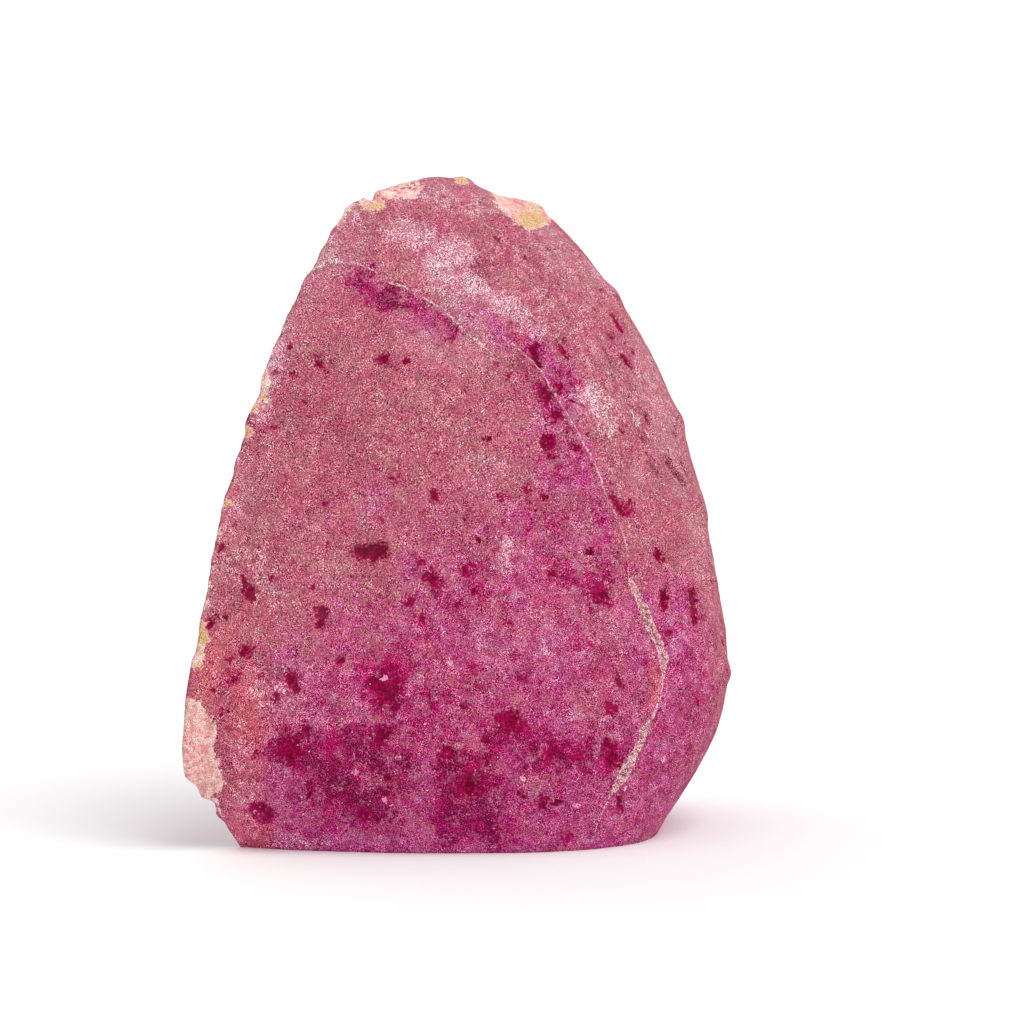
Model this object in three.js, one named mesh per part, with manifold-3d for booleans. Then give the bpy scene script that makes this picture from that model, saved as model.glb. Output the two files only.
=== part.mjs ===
// Agate geode, cut base: half of a dyed agate nodule with a sawn foot and a sawn display face.
//
// Frame: millimetres, +Z up. The origin is the centre of the footprint box on the sawn foot
// (z = 0). The sawn display face is vertical and faces -Y; the natural rind bulges towards +Y.
// One body: rind, agate wall and the quartz points that grew in the hollow are one stone.
import * as THREE from 'three';
import { mergeVertices } from 'three/addons/utils/BufferGeometryUtils.js';
import Module from 'manifold-3d';

// ---------------------------------------------------------------- driving dimensions (mm)
const FACE_Y = -24.43; // plane of the sawn display face
const FOOT_Z = 0; // plane of the sawn foot
const HEART = [-0.6, -7.43, 50]; // inner point that the rind is measured from
const RIND_DETAIL = 14; // subdivision of the rind
const SMOOTHING = 2e-4; // relaxes the rind between its survey points

// Pocket: an irregular ellipsoid hollow, open at the sawn face
const POCKET_CENTRE = [1.5, FACE_Y - 1.5, 57];
const POCKET_SEMI = [20, 17, 27]; // across, deep, high
const POCKET_DETAIL = 6;
const POCKET_WAVE = 0.09; // unevenness of the pocket wall, as a part of its radius

// Quartz points on the pocket wall
const POINT_COUNT = 60;
const POINT_RADIUS = [2.6, 4.4];
const POINT_PRISM = [1.4, 3.0]; // height of the six-sided prism that stands out of the wall
const POINT_TIP = 1.05; // height of the pyramid, as a part of the crystal's radius
const POINT_ROOT = 2.6; // length grown into the wall
const POINT_TILT = 0.32; // largest lean away from the wall's normal, in radians

// Conchoidal chips broken off the sharp rim: centre and radius of the ball that fits each scar
const CHIPS = [
  [[-20.5, -22.0, 133.0], 14.4],
  [[63.5, -17.0, 9.5], 9.6],
  [[-51.8, -25.5, 101.5], 10.2],
];

// Survey of the rind: points on the natural surface, and on its run past the two saw cuts
const SURVEY = [
  [44.8, -24.4, 0.0], [35.6, -10.2, 0.0], [21.7, 4.9, 0.0], [7.9, 14.8, 0.0], [-6.0, 19.1, 0.0],
  [-19.9, 15.1, 0.0], [-31.0, 4.3, 0.0], [-40.2, -9.7, 0.0], [-47.6, -24.4, 0.0],
  [54.7, -24.4, 12.0], [44.0, -9.5, 12.0], [27.9, 7.2, 12.0], [11.7, 18.2, 12.0],
  [-4.4, 24.0, 12.0], [-20.5, 22.1, 12.0], [-33.3, 12.7, 12.0], [-44.1, -3.3, 12.0],
  [-52.7, -24.4, 12.0], [57.0, -24.4, 24.0], [45.7, -10.7, 24.0], [28.7, 5.6, 24.0],
  [11.8, 16.7, 24.0], [-5.2, 23.2, 24.0], [-22.1, 24.2, 24.0], [-35.7, 17.5, 24.0],
  [-47.0, 1.2, 24.0], [-56.0, -24.4, 24.0], [54.4, -24.4, 37.0], [43.3, -11.9, 37.0],
  [26.6, 3.2, 37.0], [9.9, 13.6, 37.0], [-6.8, 19.9, 37.0], [-23.5, 21.7, 37.0],
  [-36.9, 16.3, 37.0], [-48.0, 1.0, 37.0], [-56.9, -24.4, 37.0], [50.9, -24.4, 52.0],
  [40.2, -13.2, 52.0], [24.0, 0.4, 52.0], [7.9, 9.7, 52.0], [-8.2, 15.4, 52.0],
  [-24.4, 17.0, 52.0], [-37.3, 12.2, 52.0], [-48.0, -1.6, 52.0], [-56.6, -24.4, 52.0],
  [46.0, -24.4, 68.0], [36.0, -14.4, 68.0], [20.9, -2.4, 68.0], [5.9, 5.9, 68.0],
  [-9.1, 11.0, 68.0], [-24.2, 12.4, 68.0], [-36.2, 8.2, 68.0], [-46.2, -4.1, 68.0],
  [-54.2, -24.4, 68.0], [40.4, -24.4, 83.0], [31.4, -15.2, 83.0], [17.8, -4.4, 83.0],
  [4.3, 2.8, 83.0], [-9.2, 7.0, 83.0], [-22.8, 7.8, 83.0], [-33.6, 3.6, 83.0], [-42.6, -7.2, 83.0],
  [-49.8, -24.4, 83.0], [33.7, -24.4, 97.0], [22.1, -13.3, 97.0], [6.7, -3.6, 97.0],
  [-8.7, 1.1, 97.0], [-24.1, 0.4, 97.0], [-35.6, -8.7, 97.0], [-43.3, -24.4, 97.0],
  [26.5, -24.4, 108.0], [17.1, -16.4, 108.0], [4.6, -9.6, 108.0], [-7.9, -6.4, 108.0],
  [-20.4, -7.2, 108.0], [-29.8, -13.7, 108.0], [-36.1, -24.4, 108.0], [21.6, -24.4, 115.0],
  [6.2, -15.7, 115.0], [-9.2, -12.8, 115.0], [-22.0, -15.7, 115.0], [-29.7, -24.4, 115.0],
  [18.4, -24.4, 117.9], [12.3, -24.4, 120.3], [5.4, -24.4, 122.2], [-5.0, -24.4, 123.2],
  [-13.6, -24.4, 121.2], [-21.6, -24.4, 120.2], [-26.6, -24.4, 117.3], [57.8, -38.4, 5.0],
  [-52.4, -38.4, 5.0], [57.8, -58.4, 5.0], [-47.9, -58.4, 5.0], [64.9, -38.4, 30.0],
  [-59.3, -38.4, 30.0], [64.9, -58.4, 30.0], [-54.8, -58.4, 30.0], [59.2, -38.4, 55.0],
  [-58.8, -38.4, 55.0], [59.2, -58.4, 55.0], [-54.3, -58.4, 55.0], [49.8, -38.4, 80.0],
  [-53.4, -38.4, 80.0], [49.8, -58.4, 80.0], [-48.9, -58.4, 80.0], [39.6, -38.4, 100.0],
  [-44.0, -38.4, 100.0], [39.6, -58.4, 100.0], [-39.5, -58.4, 100.0], [29.4, -44.4, 108.0],
  [-0.6, -44.4, 124.0], [-24.6, -44.4, 112.0], [-0.6, -86.4, 20.0], [-0.6, -86.4, 55.0],
  [-0.6, -86.4, 90.0], [29.4, -86.4, 55.0], [-30.6, -86.4, 55.0], [40.2, -25.4, -12.0],
  [18.9, 0.3, -12.0], [-5.4, 11.3, -12.0], [-24.8, 5.3, -12.0], [-39.3, -15.4, -12.0],
  [-39.3, -35.4, -12.0], [28.6, -55.4, -12.0], [-10.2, -65.4, -12.0], [-0.6, -14.4, -40.0],
  [19.4, -19.4, -36.0], [-20.6, -9.4, -36.0],
];

// ---------------------------------------------------------------- small helpers
function random(seed) {
  let a = seed >>> 0;
  return () => {
    a = (a + 0x6d2b79f5) >>> 0;
    let t = a;
    t = Math.imul(t ^ (t >>> 15), t | 1);
    t ^= t + Math.imul(t ^ (t >>> 7), t | 61);
    return ((t ^ (t >>> 14)) >>> 0) / 4294967296;
  };
}

function solveLinear(A, b) {
  const n = b.length;
  for (let c = 0; c < n; c++) {
    let p = c;
    for (let r = c + 1; r < n; r++) if (Math.abs(A[r][c]) > Math.abs(A[p][c])) p = r;
    [A[c], A[p]] = [A[p], A[c]];
    [b[c], b[p]] = [b[p], b[c]];
    for (let r = c + 1; r < n; r++) {
      const f = A[r][c] / A[c][c];
      if (f === 0) continue;
      for (let k = c; k < n; k++) A[r][k] -= f * A[c][k];
      b[r] -= f * b[c];
    }
  }
  const x = new Array(n).fill(0);
  for (let r = n - 1; r >= 0; r--) {
    let s = b[r];
    for (let k = r + 1; k < n; k++) s -= A[r][k] * x[k];
    x[r] = s / A[r][r];
  }
  return x;
}

// Distance from HEART to the rind in any direction: a cubic spline over the survey points
const surveyDirs = [];
const surveyLens = [];
for (const p of SURVEY) {
  const d = [p[0] - HEART[0], p[1] - HEART[1], p[2] - HEART[2]];
  const len = Math.hypot(...d);
  surveyDirs.push(d.map((v) => v / len));
  surveyLens.push(len);
}
function cube(a, b) {
  const d = Math.hypot(a[0] - b[0], a[1] - b[1], a[2] - b[2]);
  return d * d * d;
}
const splineWeights = (() => {
  const n = surveyDirs.length;
  const A = [];
  const b = [];
  for (let i = 0; i < n; i++) {
    const row = surveyDirs.map((d, j) => cube(surveyDirs[i], d) + (i === j ? SMOOTHING : 0));
    row.push(1, ...surveyDirs[i]);
    A.push(row);
    b.push(surveyLens[i]);
  }
  for (let k = 0; k < 4; k++) {
    const row = surveyDirs.map((d) => (k === 0 ? 1 : d[k - 1]));
    row.push(0, 0, 0, 0);
    A.push(row);
    b.push(0);
  }
  return solveLinear(A, b);
})();
function rindLength(d) {
  const n = surveyDirs.length;
  let s = splineWeights[n] + d[0] * splineWeights[n + 1] + d[1] * splineWeights[n + 2] + d[2] * splineWeights[n + 3];
  for (let i = 0; i < n; i++) s += splineWeights[i] * cube(d, surveyDirs[i]);
  return s;
}

// ---------------------------------------------------------------- solids
const wasm = await Module();
wasm.setup();

function toSolid(geometry) {
  const g = geometry.clone();
  g.deleteAttribute('normal');
  g.deleteAttribute('uv');
  const m = mergeVertices(g, 1e-4);
  return new wasm.Manifold(
    new wasm.Mesh({
      numProp: 3,
      vertProperties: new Float32Array(m.attributes.position.array),
      triVerts: new Uint32Array(m.index.array),
    }),
  );
}

function toGeometry(solid) {
  const m = solid.getMesh();
  const g = new THREE.BufferGeometry();
  const pos = new Float32Array((m.vertProperties.length / m.numProp) * 3);
  for (let i = 0; i < pos.length / 3; i++)
    for (let k = 0; k < 3; k++) pos[i * 3 + k] = m.vertProperties[i * m.numProp + k];
  g.setAttribute('position', new THREE.BufferAttribute(pos, 3));
  g.setIndex(new THREE.BufferAttribute(new Uint32Array(m.triVerts), 1));
  return g;
}

// A ball whose radius depends on direction; scale and centre place it
function blob(detail, centre, radiusOf) {
  const g = new THREE.IcosahedronGeometry(1, detail);
  g.deleteAttribute('normal');
  g.deleteAttribute('uv');
  const m = mergeVertices(g, 1e-5);
  const p = m.attributes.position;
  for (let i = 0; i < p.count; i++) {
    const d = [p.getX(i), p.getY(i), p.getZ(i)];
    const len = Math.hypot(...d);
    const u = d.map((v) => v / len);
    const r = radiusOf(u);
    const s = Array.isArray(r) ? r : [r, r, r];
    p.setXYZ(i, centre[0] + u[0] * s[0], centre[1] + u[1] * s[1], centre[2] + u[2] * s[2]);
  }
  return m;
}

function wave(u) {
  return (
    0.45 * Math.sin(3.1 * u[0] + 4.3 * u[2] + 0.7) +
    0.35 * Math.sin(5.2 * u[2] - 3.3 * u[0] + 2.1) +
    0.3 * Math.sin(6.1 * u[0] + 2.0 * u[1] - 1.3)
  );
}
function pocketPoint(u) {
  const k = 1 + POCKET_WAVE * wave(u);
  return [
    POCKET_CENTRE[0] + u[0] * POCKET_SEMI[0] * k,
    POCKET_CENTRE[1] + u[1] * POCKET_SEMI[1] * k,
    POCKET_CENTRE[2] + u[2] * POCKET_SEMI[2] * k,
  ];
}

// Quartz point: a six-sided prism closed by a six-sided pyramid, standing on its root
function quartzPoint(r, prism) {
  const profile = [
    new THREE.Vector2(0, -POINT_ROOT),
    new THREE.Vector2(r * 0.92, -POINT_ROOT),
    new THREE.Vector2(r, prism),
    new THREE.Vector2(0, prism + r * POINT_TIP),
  ];
  return new THREE.LatheGeometry(profile, 6);
}

// rind, cut by the foot and face planes
let stone = toSolid(blob(RIND_DETAIL, HEART, rindLength));
const block = new THREE.BoxGeometry(400, 400, 400);
block.translate(0, FACE_Y + 200, FOOT_Z + 200);
const halfSpace = toSolid(block);

// hollow
stone = stone.subtract(
  toSolid(
    blob(POCKET_DETAIL, POCKET_CENTRE, (u) => {
      const k = 1 + POCKET_WAVE * wave(u);
      return [POCKET_SEMI[0] * k, POCKET_SEMI[1] * k, POCKET_SEMI[2] * k];
    }),
  ),
);

// quartz points, spread evenly over the pocket wall and grown together with it
const rnd = random(41);
const golden = Math.PI * (3 - Math.sqrt(5));
const up = new THREE.Vector3(0, 1, 0);
for (let i = 0; i < POINT_COUNT; i++) {
  const y = 1 - (i + 0.5) / POINT_COUNT; // inner half of the pocket only: 1 at the back, 0 at the face
  const ring = Math.sqrt(1 - y * y);
  const a = i * golden + (rnd() - 0.5) * 0.25;
  const u = [ring * Math.cos(a), y, ring * Math.sin(a)];
  const foot = pocketPoint(u);
  const n = new THREE.Vector3(-u[0] / POCKET_SEMI[0], -u[1] / POCKET_SEMI[1], -u[2] / POCKET_SEMI[2]).normalize();
  n.x += (rnd() - 0.5) * 2 * POINT_TILT;
  n.y += (rnd() - 0.5) * 2 * POINT_TILT;
  n.z += (rnd() - 0.5) * 2 * POINT_TILT;
  n.normalize();
  const r = POINT_RADIUS[0] + rnd() * (POINT_RADIUS[1] - POINT_RADIUS[0]);
  const prism = POINT_PRISM[0] + rnd() * (POINT_PRISM[1] - POINT_PRISM[0]);
  const g = quartzPoint(r, prism);
  g.rotateY(rnd() * Math.PI);
  g.applyQuaternion(new THREE.Quaternion().setFromUnitVectors(up, n));
  g.translate(...foot);
  stone = stone.add(toSolid(g));
}

// the saw cuts, then the chips along the rim
stone = stone.intersect(halfSpace);
for (const [c, r] of CHIPS) stone = stone.subtract(toSolid(blob(4, c, () => r)));

// Keeps the stone's own outer shell: the tiny gaps shut in between crossing crystals are grown over
function mainShell(g) {
  const ix = g.index.array;
  const parent = Array.from({ length: g.attributes.position.count }, (_, i) => i);
  const root = (i) => {
    while (parent[i] !== i) {
      parent[i] = parent[parent[i]];
      i = parent[i];
    }
    return i;
  };
  for (let i = 0; i < ix.length; i += 3) {
    const a = root(ix[i]);
    parent[root(ix[i + 1])] = a;
    parent[root(ix[i + 2])] = a;
  }
  const count = new Map();
  for (let i = 0; i < ix.length; i += 3) count.set(root(ix[i]), (count.get(root(ix[i])) || 0) + 1);
  const main = [...count.entries()].sort((p, q) => q[1] - p[1])[0][0];
  const kept = [];
  for (let i = 0; i < ix.length; i += 3) if (root(ix[i]) === main) kept.push(ix[i], ix[i + 1], ix[i + 2]);
  g.setIndex(kept);
  return g;
}

const group = new THREE.Group();
const geode = new THREE.Mesh(
  mainShell(toGeometry(stone)),
  new THREE.MeshStandardMaterial({ color: 0xb05a78, roughness: 0.85, metalness: 0.0 }),
);
geode.name = 'geode';
group.add(geode);

export default group;
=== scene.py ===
# Agate geode, cut base: the visual model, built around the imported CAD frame.
# One stone: natural pitted rind, sawn and polished agate face, sawn foot, and a pocket of quartz points.
import math

import bmesh
import bpy
import numpy as np
from mathutils import Matrix, Vector
from mathutils.bvhtree import BVHTree


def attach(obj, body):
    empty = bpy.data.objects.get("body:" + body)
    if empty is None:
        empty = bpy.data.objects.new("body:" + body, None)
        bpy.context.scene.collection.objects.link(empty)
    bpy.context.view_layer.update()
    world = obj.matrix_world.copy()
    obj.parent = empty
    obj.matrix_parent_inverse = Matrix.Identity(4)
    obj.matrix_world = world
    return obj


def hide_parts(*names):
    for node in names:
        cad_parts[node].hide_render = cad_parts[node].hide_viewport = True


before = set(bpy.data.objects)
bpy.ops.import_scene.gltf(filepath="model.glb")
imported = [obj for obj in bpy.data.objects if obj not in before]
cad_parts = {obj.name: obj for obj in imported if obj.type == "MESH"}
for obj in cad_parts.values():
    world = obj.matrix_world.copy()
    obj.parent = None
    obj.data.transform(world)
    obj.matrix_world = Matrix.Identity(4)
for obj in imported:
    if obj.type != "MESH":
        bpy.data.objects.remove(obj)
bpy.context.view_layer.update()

MM = 0.001
SEED = 7

# ------------------------------------------------------------------ shape of the stone, in mm (as in part.mjs)
FACE_Y = -24.43
HEART = np.array([-0.6, -7.43, 50.0])
SMOOTHING = 2e-4
POCKET_C = np.array([1.5, FACE_Y - 1.5, 57.0])
POCKET_S = np.array([20.0, 17.0, 27.0])
SURVEY = np.array([
  [44.8, -24.4, 0.0], [35.6, -10.2, 0.0], [21.7, 4.9, 0.0], [7.9, 14.8, 0.0], [-6.0, 19.1, 0.0],
  [-19.9, 15.1, 0.0], [-31.0, 4.3, 0.0], [-40.2, -9.7, 0.0], [-47.6, -24.4, 0.0],
  [54.7, -24.4, 12.0], [44.0, -9.5, 12.0], [27.9, 7.2, 12.0], [11.7, 18.2, 12.0],
  [-4.4, 24.0, 12.0], [-20.5, 22.1, 12.0], [-33.3, 12.7, 12.0], [-44.1, -3.3, 12.0],
  [-52.7, -24.4, 12.0], [57.0, -24.4, 24.0], [45.7, -10.7, 24.0], [28.7, 5.6, 24.0],
  [11.8, 16.7, 24.0], [-5.2, 23.2, 24.0], [-22.1, 24.2, 24.0], [-35.7, 17.5, 24.0],
  [-47.0, 1.2, 24.0], [-56.0, -24.4, 24.0], [54.4, -24.4, 37.0], [43.3, -11.9, 37.0],
  [26.6, 3.2, 37.0], [9.9, 13.6, 37.0], [-6.8, 19.9, 37.0], [-23.5, 21.7, 37.0],
  [-36.9, 16.3, 37.0], [-48.0, 1.0, 37.0], [-56.9, -24.4, 37.0], [50.9, -24.4, 52.0],
  [40.2, -13.2, 52.0], [24.0, 0.4, 52.0], [7.9, 9.7, 52.0], [-8.2, 15.4, 52.0],
  [-24.4, 17.0, 52.0], [-37.3, 12.2, 52.0], [-48.0, -1.6, 52.0], [-56.6, -24.4, 52.0],
  [46.0, -24.4, 68.0], [36.0, -14.4, 68.0], [20.9, -2.4, 68.0], [5.9, 5.9, 68.0],
  [-9.1, 11.0, 68.0], [-24.2, 12.4, 68.0], [-36.2, 8.2, 68.0], [-46.2, -4.1, 68.0],
  [-54.2, -24.4, 68.0], [40.4, -24.4, 83.0], [31.4, -15.2, 83.0], [17.8, -4.4, 83.0],
  [4.3, 2.8, 83.0], [-9.2, 7.0, 83.0], [-22.8, 7.8, 83.0], [-33.6, 3.6, 83.0], [-42.6, -7.2, 83.0],
  [-49.8, -24.4, 83.0], [33.7, -24.4, 97.0], [22.1, -13.3, 97.0], [6.7, -3.6, 97.0],
  [-8.7, 1.1, 97.0], [-24.1, 0.4, 97.0], [-35.6, -8.7, 97.0], [-43.3, -24.4, 97.0],
  [26.5, -24.4, 108.0], [17.1, -16.4, 108.0], [4.6, -9.6, 108.0], [-7.9, -6.4, 108.0],
  [-20.4, -7.2, 108.0], [-29.8, -13.7, 108.0], [-36.1, -24.4, 108.0], [21.6, -24.4, 115.0],
  [6.2, -15.7, 115.0], [-9.2, -12.8, 115.0], [-22.0, -15.7, 115.0], [-29.7, -24.4, 115.0],
  [18.4, -24.4, 117.9], [12.3, -24.4, 120.3], [5.4, -24.4, 122.2], [-5.0, -24.4, 123.2],
  [-13.6, -24.4, 121.2], [-21.6, -24.4, 120.2], [-26.6, -24.4, 117.3], [57.8, -38.4, 5.0],
  [-52.4, -38.4, 5.0], [57.8, -58.4, 5.0], [-47.9, -58.4, 5.0], [64.9, -38.4, 30.0],
  [-59.3, -38.4, 30.0], [64.9, -58.4, 30.0], [-54.8, -58.4, 30.0], [59.2, -38.4, 55.0],
  [-58.8, -38.4, 55.0], [59.2, -58.4, 55.0], [-54.3, -58.4, 55.0], [49.8, -38.4, 80.0],
  [-53.4, -38.4, 80.0], [49.8, -58.4, 80.0], [-48.9, -58.4, 80.0], [39.6, -38.4, 100.0],
  [-44.0, -38.4, 100.0], [39.6, -58.4, 100.0], [-39.5, -58.4, 100.0], [29.4, -44.4, 108.0],
  [-0.6, -44.4, 124.0], [-24.6, -44.4, 112.0], [-0.6, -86.4, 20.0], [-0.6, -86.4, 55.0],
  [-0.6, -86.4, 90.0], [29.4, -86.4, 55.0], [-30.6, -86.4, 55.0], [40.2, -25.4, -12.0],
  [18.9, 0.3, -12.0], [-5.4, 11.3, -12.0], [-24.8, 5.3, -12.0], [-39.3, -15.4, -12.0],
  [-39.3, -35.4, -12.0], [28.6, -55.4, -12.0], [-10.2, -65.4, -12.0], [-0.6, -14.4, -40.0],
  [19.4, -19.4, -36.0], [-20.6, -9.4, -36.0],
])

# ------------------------------------------------------------------ camera: long lens, almost level, behind and to the side
# of the sawn face, so that the rind fills the view
CAM_AZ, CAM_EL, CAM_D = math.radians(140.0), math.radians(2.0), 505.0
LENS, SENSOR = 100.0, 36.0
FPX = LENS / SENSOR * 1024
SHIFT = np.array([19.4, 6.27, 0.0])  # from the near point of the foot to the origin
c_r = np.array([math.cos(CAM_AZ), math.sin(CAM_AZ), 0.0])
c_h = np.array([-math.sin(CAM_AZ), math.cos(CAM_AZ), 0.0])
c_f = c_h * math.cos(CAM_EL) - np.array([0, 0, 1.0]) * math.sin(CAM_EL)
c_u = c_h * math.sin(CAM_EL) + np.array([0, 0, 1.0]) * math.cos(CAM_EL)
_hc = CAM_D * math.tan(CAM_EL + math.atan(341 / FPX))
_rc = 55 / FPX * (CAM_D * math.cos(CAM_EL) + _hc * math.sin(CAM_EL))
CAM_P = c_r * _rc - c_h * CAM_D + np.array([0, 0, 1.0]) * _hc + SHIFT


def pixel_ray(px, py):
    d = c_f + c_r * (px - 512) / FPX + c_u * (512 - py) / FPX
    return d / np.linalg.norm(d)


# ------------------------------------------------------------------ numeric helpers
def smooth(a, b, x):
    t = np.clip((x - a) / (b - a), 0.0, 1.0)
    return t * t * (3 - 2 * t)


_perm = np.random.default_rng(SEED).permutation(256).astype(np.int64)
_perm = np.concatenate([_perm, _perm])
_g = np.random.default_rng(SEED + 1).normal(size=(256, 3))
_g /= np.linalg.norm(_g, axis=1)[:, None]


def perlin(p):
    """Gradient noise, about -0.7 to 0.7, over an (n, 3) array."""
    f = np.floor(p)
    i = f.astype(np.int64) & 255
    q = p - f
    w = q * q * q * (q * (q * 6 - 15) + 10)
    out = np.zeros(len(p))
    for dx in (0, 1):
        for dy in (0, 1):
            for dz in (0, 1):
                h = _perm[_perm[_perm[(i[:, 0] + dx) & 255] + ((i[:, 1] + dy) & 255)] + ((i[:, 2] + dz) & 255)]
                d = q - np.array([dx, dy, dz])
                v = (_g[h] * d).sum(1)
                wx = w[:, 0] if dx else 1 - w[:, 0]
                wy = w[:, 1] if dy else 1 - w[:, 1]
                wz = w[:, 2] if dz else 1 - w[:, 2]
                out += v * wx * wy * wz
    return out


def fbm(p, size, octaves=4, gain=0.5, off=0.0):
    out, a, s = np.zeros(len(p)), 1.0, 1.0 / size
    for k in range(octaves):
        out += a * perlin(p * s + off + 17.3 * k)
        a *= gain
        s *= 2.03
    return out


# ------------------------------------------------------------------ the rind as a radial spline round HEART
_d = SURVEY - HEART
_len = np.linalg.norm(_d, axis=1)
_dir = _d / _len[:, None]
_n = len(_dir)
_K = np.linalg.norm(_dir[:, None] - _dir[None], axis=2) ** 3 + np.eye(_n) * SMOOTHING
_Q = np.concatenate([np.ones((_n, 1)), _dir], 1)
_W = np.linalg.solve(np.block([[_K, _Q], [_Q.T, np.zeros((4, 4))]]), np.concatenate([_len, np.zeros(4)]))


def rind_length(u):
    out = np.empty(len(u))
    for i in range(0, len(u), 20000):
        d = u[i : i + 20000]
        k = np.sqrt(np.maximum(2 - 2 * d @ _dir.T, 0)) ** 3
        out[i : i + 20000] = k @ _W[:_n] + _W[_n] + d @ _W[_n + 1 :]
    return out


def geodesic(n):
    """Unit sphere of 20 n^2 triangles."""
    t = (1 + 5**0.5) / 2
    v = np.array([(-1, t, 0), (1, t, 0), (-1, -t, 0), (1, -t, 0), (0, -1, t), (0, 1, t), (0, -1, -t), (0, 1, -t), (t, 0, -1), (t, 0, 1), (-t, 0, -1), (-t, 0, 1)], float)
    v /= np.linalg.norm(v, axis=1)[:, None]
    faces = [(0, 11, 5), (0, 5, 1), (0, 1, 7), (0, 7, 10), (0, 10, 11), (1, 5, 9), (5, 11, 4), (11, 10, 2), (10, 7, 6), (7, 1, 8), (3, 9, 4), (3, 4, 2), (3, 2, 6), (3, 6, 8), (3, 8, 9), (4, 9, 5), (2, 4, 11), (6, 2, 10), (8, 6, 7), (9, 8, 1)]
    pts, tri, base = [], [], 0
    ij = [(i, j) for i in range(n + 1) for j in range(n + 1 - i)]
    index = {k: m for m, k in enumerate(ij)}
    I = np.array(ij, float)
    local = []
    for i, j in ij:
        if i + j < n:
            local.append((index[i, j], index[i + 1, j], index[i, j + 1]))
        if i + j < n - 1:
            local.append((index[i + 1, j], index[i + 1, j + 1], index[i, j + 1]))
    local = np.array(local)
    for a, b, c in faces:
        p = v[a] * (n - I[:, :1] - I[:, 1:]) + v[b] * I[:, :1] + v[c] * I[:, 1:]
        pts.append(p / np.linalg.norm(p, axis=1)[:, None])
        tri.append(local + base)
        base += len(ij)
    pts, tri = np.concatenate(pts), np.concatenate(tri)
    key = np.round(pts * 1e6).astype(np.int64)
    _, first, inv = np.unique(key, axis=0, return_index=True, return_inverse=True)
    return pts[first], inv.reshape(-1)[tri]


def vertex_normals(P, T):
    n = np.cross(P[T[:, 1]] - P[T[:, 0]], P[T[:, 2]] - P[T[:, 0]])
    out = np.zeros_like(P)
    for k in range(3):
        np.add.at(out, T[:, k], n)
    return out / np.maximum(np.linalg.norm(out, axis=1), 1e-12)[:, None]


DETAIL = 112
U, T = geodesic(DETAIL)
# spread the directions so that triangles come out alike in size on the flattened stone
U = U * np.array([60.0, 33.0, 64.0]) + np.array([5.0, 9.0, 4.0])
U /= np.linalg.norm(U, axis=1)[:, None]
P0 = HEART + U * rind_length(U)[:, None]
N0 = vertex_normals(P0, T)
if ((N0 * U).sum(1) < 0).mean() > 0.5:
    T = T[:, ::-1]
    N0 = -N0
print("rind", len(P0), len(T))


# ------------------------------------------------------------------ marks on the rind, placed through the camera
_bvh = BVHTree.FromPolygons((P0 * MM).tolist(), T.tolist())


def at(px, py):
    """The point of the smooth rind behind a pixel of the 1024 frame, in mm; off the outline it steps inwards."""
    for k in range(60):
        t = k / 60
        d = pixel_ray(px + (457 - px) * t, py + (515 - py) * t)
        hit = _bvh.ray_cast(Vector(CAM_P * MM), Vector(d))
        if hit[0] is not None:
            p = np.array(hit[0]) / MM
            if p[1] > FACE_Y - 1.0 and p[2] > -1.0:
                return p
    raise SystemExit(f"no rind at {px},{py}")


PX = 0.178  # mm on the stone for one pixel


def path(points):
    return np.array([at(*p[:2]) for p in points])


def chain(P, pts, radii=None):
    """Distance of every point to a polyline, and the interpolated radius there."""
    pts = np.atleast_2d(pts)
    if radii is None:
        radii = np.ones(len(pts))
    best = np.full(len(P), 1e9)
    rad = np.full(len(P), float(radii[0]))
    if len(pts) == 1:
        return np.linalg.norm(P - pts[0], axis=1), rad
    for a, b, ra, rb in zip(pts[:-1], pts[1:], radii[:-1], radii[1:]):
        ab = b - a
        t = np.clip(((P - a) @ ab) / max(ab @ ab, 1e-9), 0, 1)
        d = np.linalg.norm(P - a - t[:, None] * ab, axis=1)
        m = d < best
        best[m] = d[m]
        rad[m] = (ra + (rb - ra) * t)[m]
    return best, rad


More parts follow.
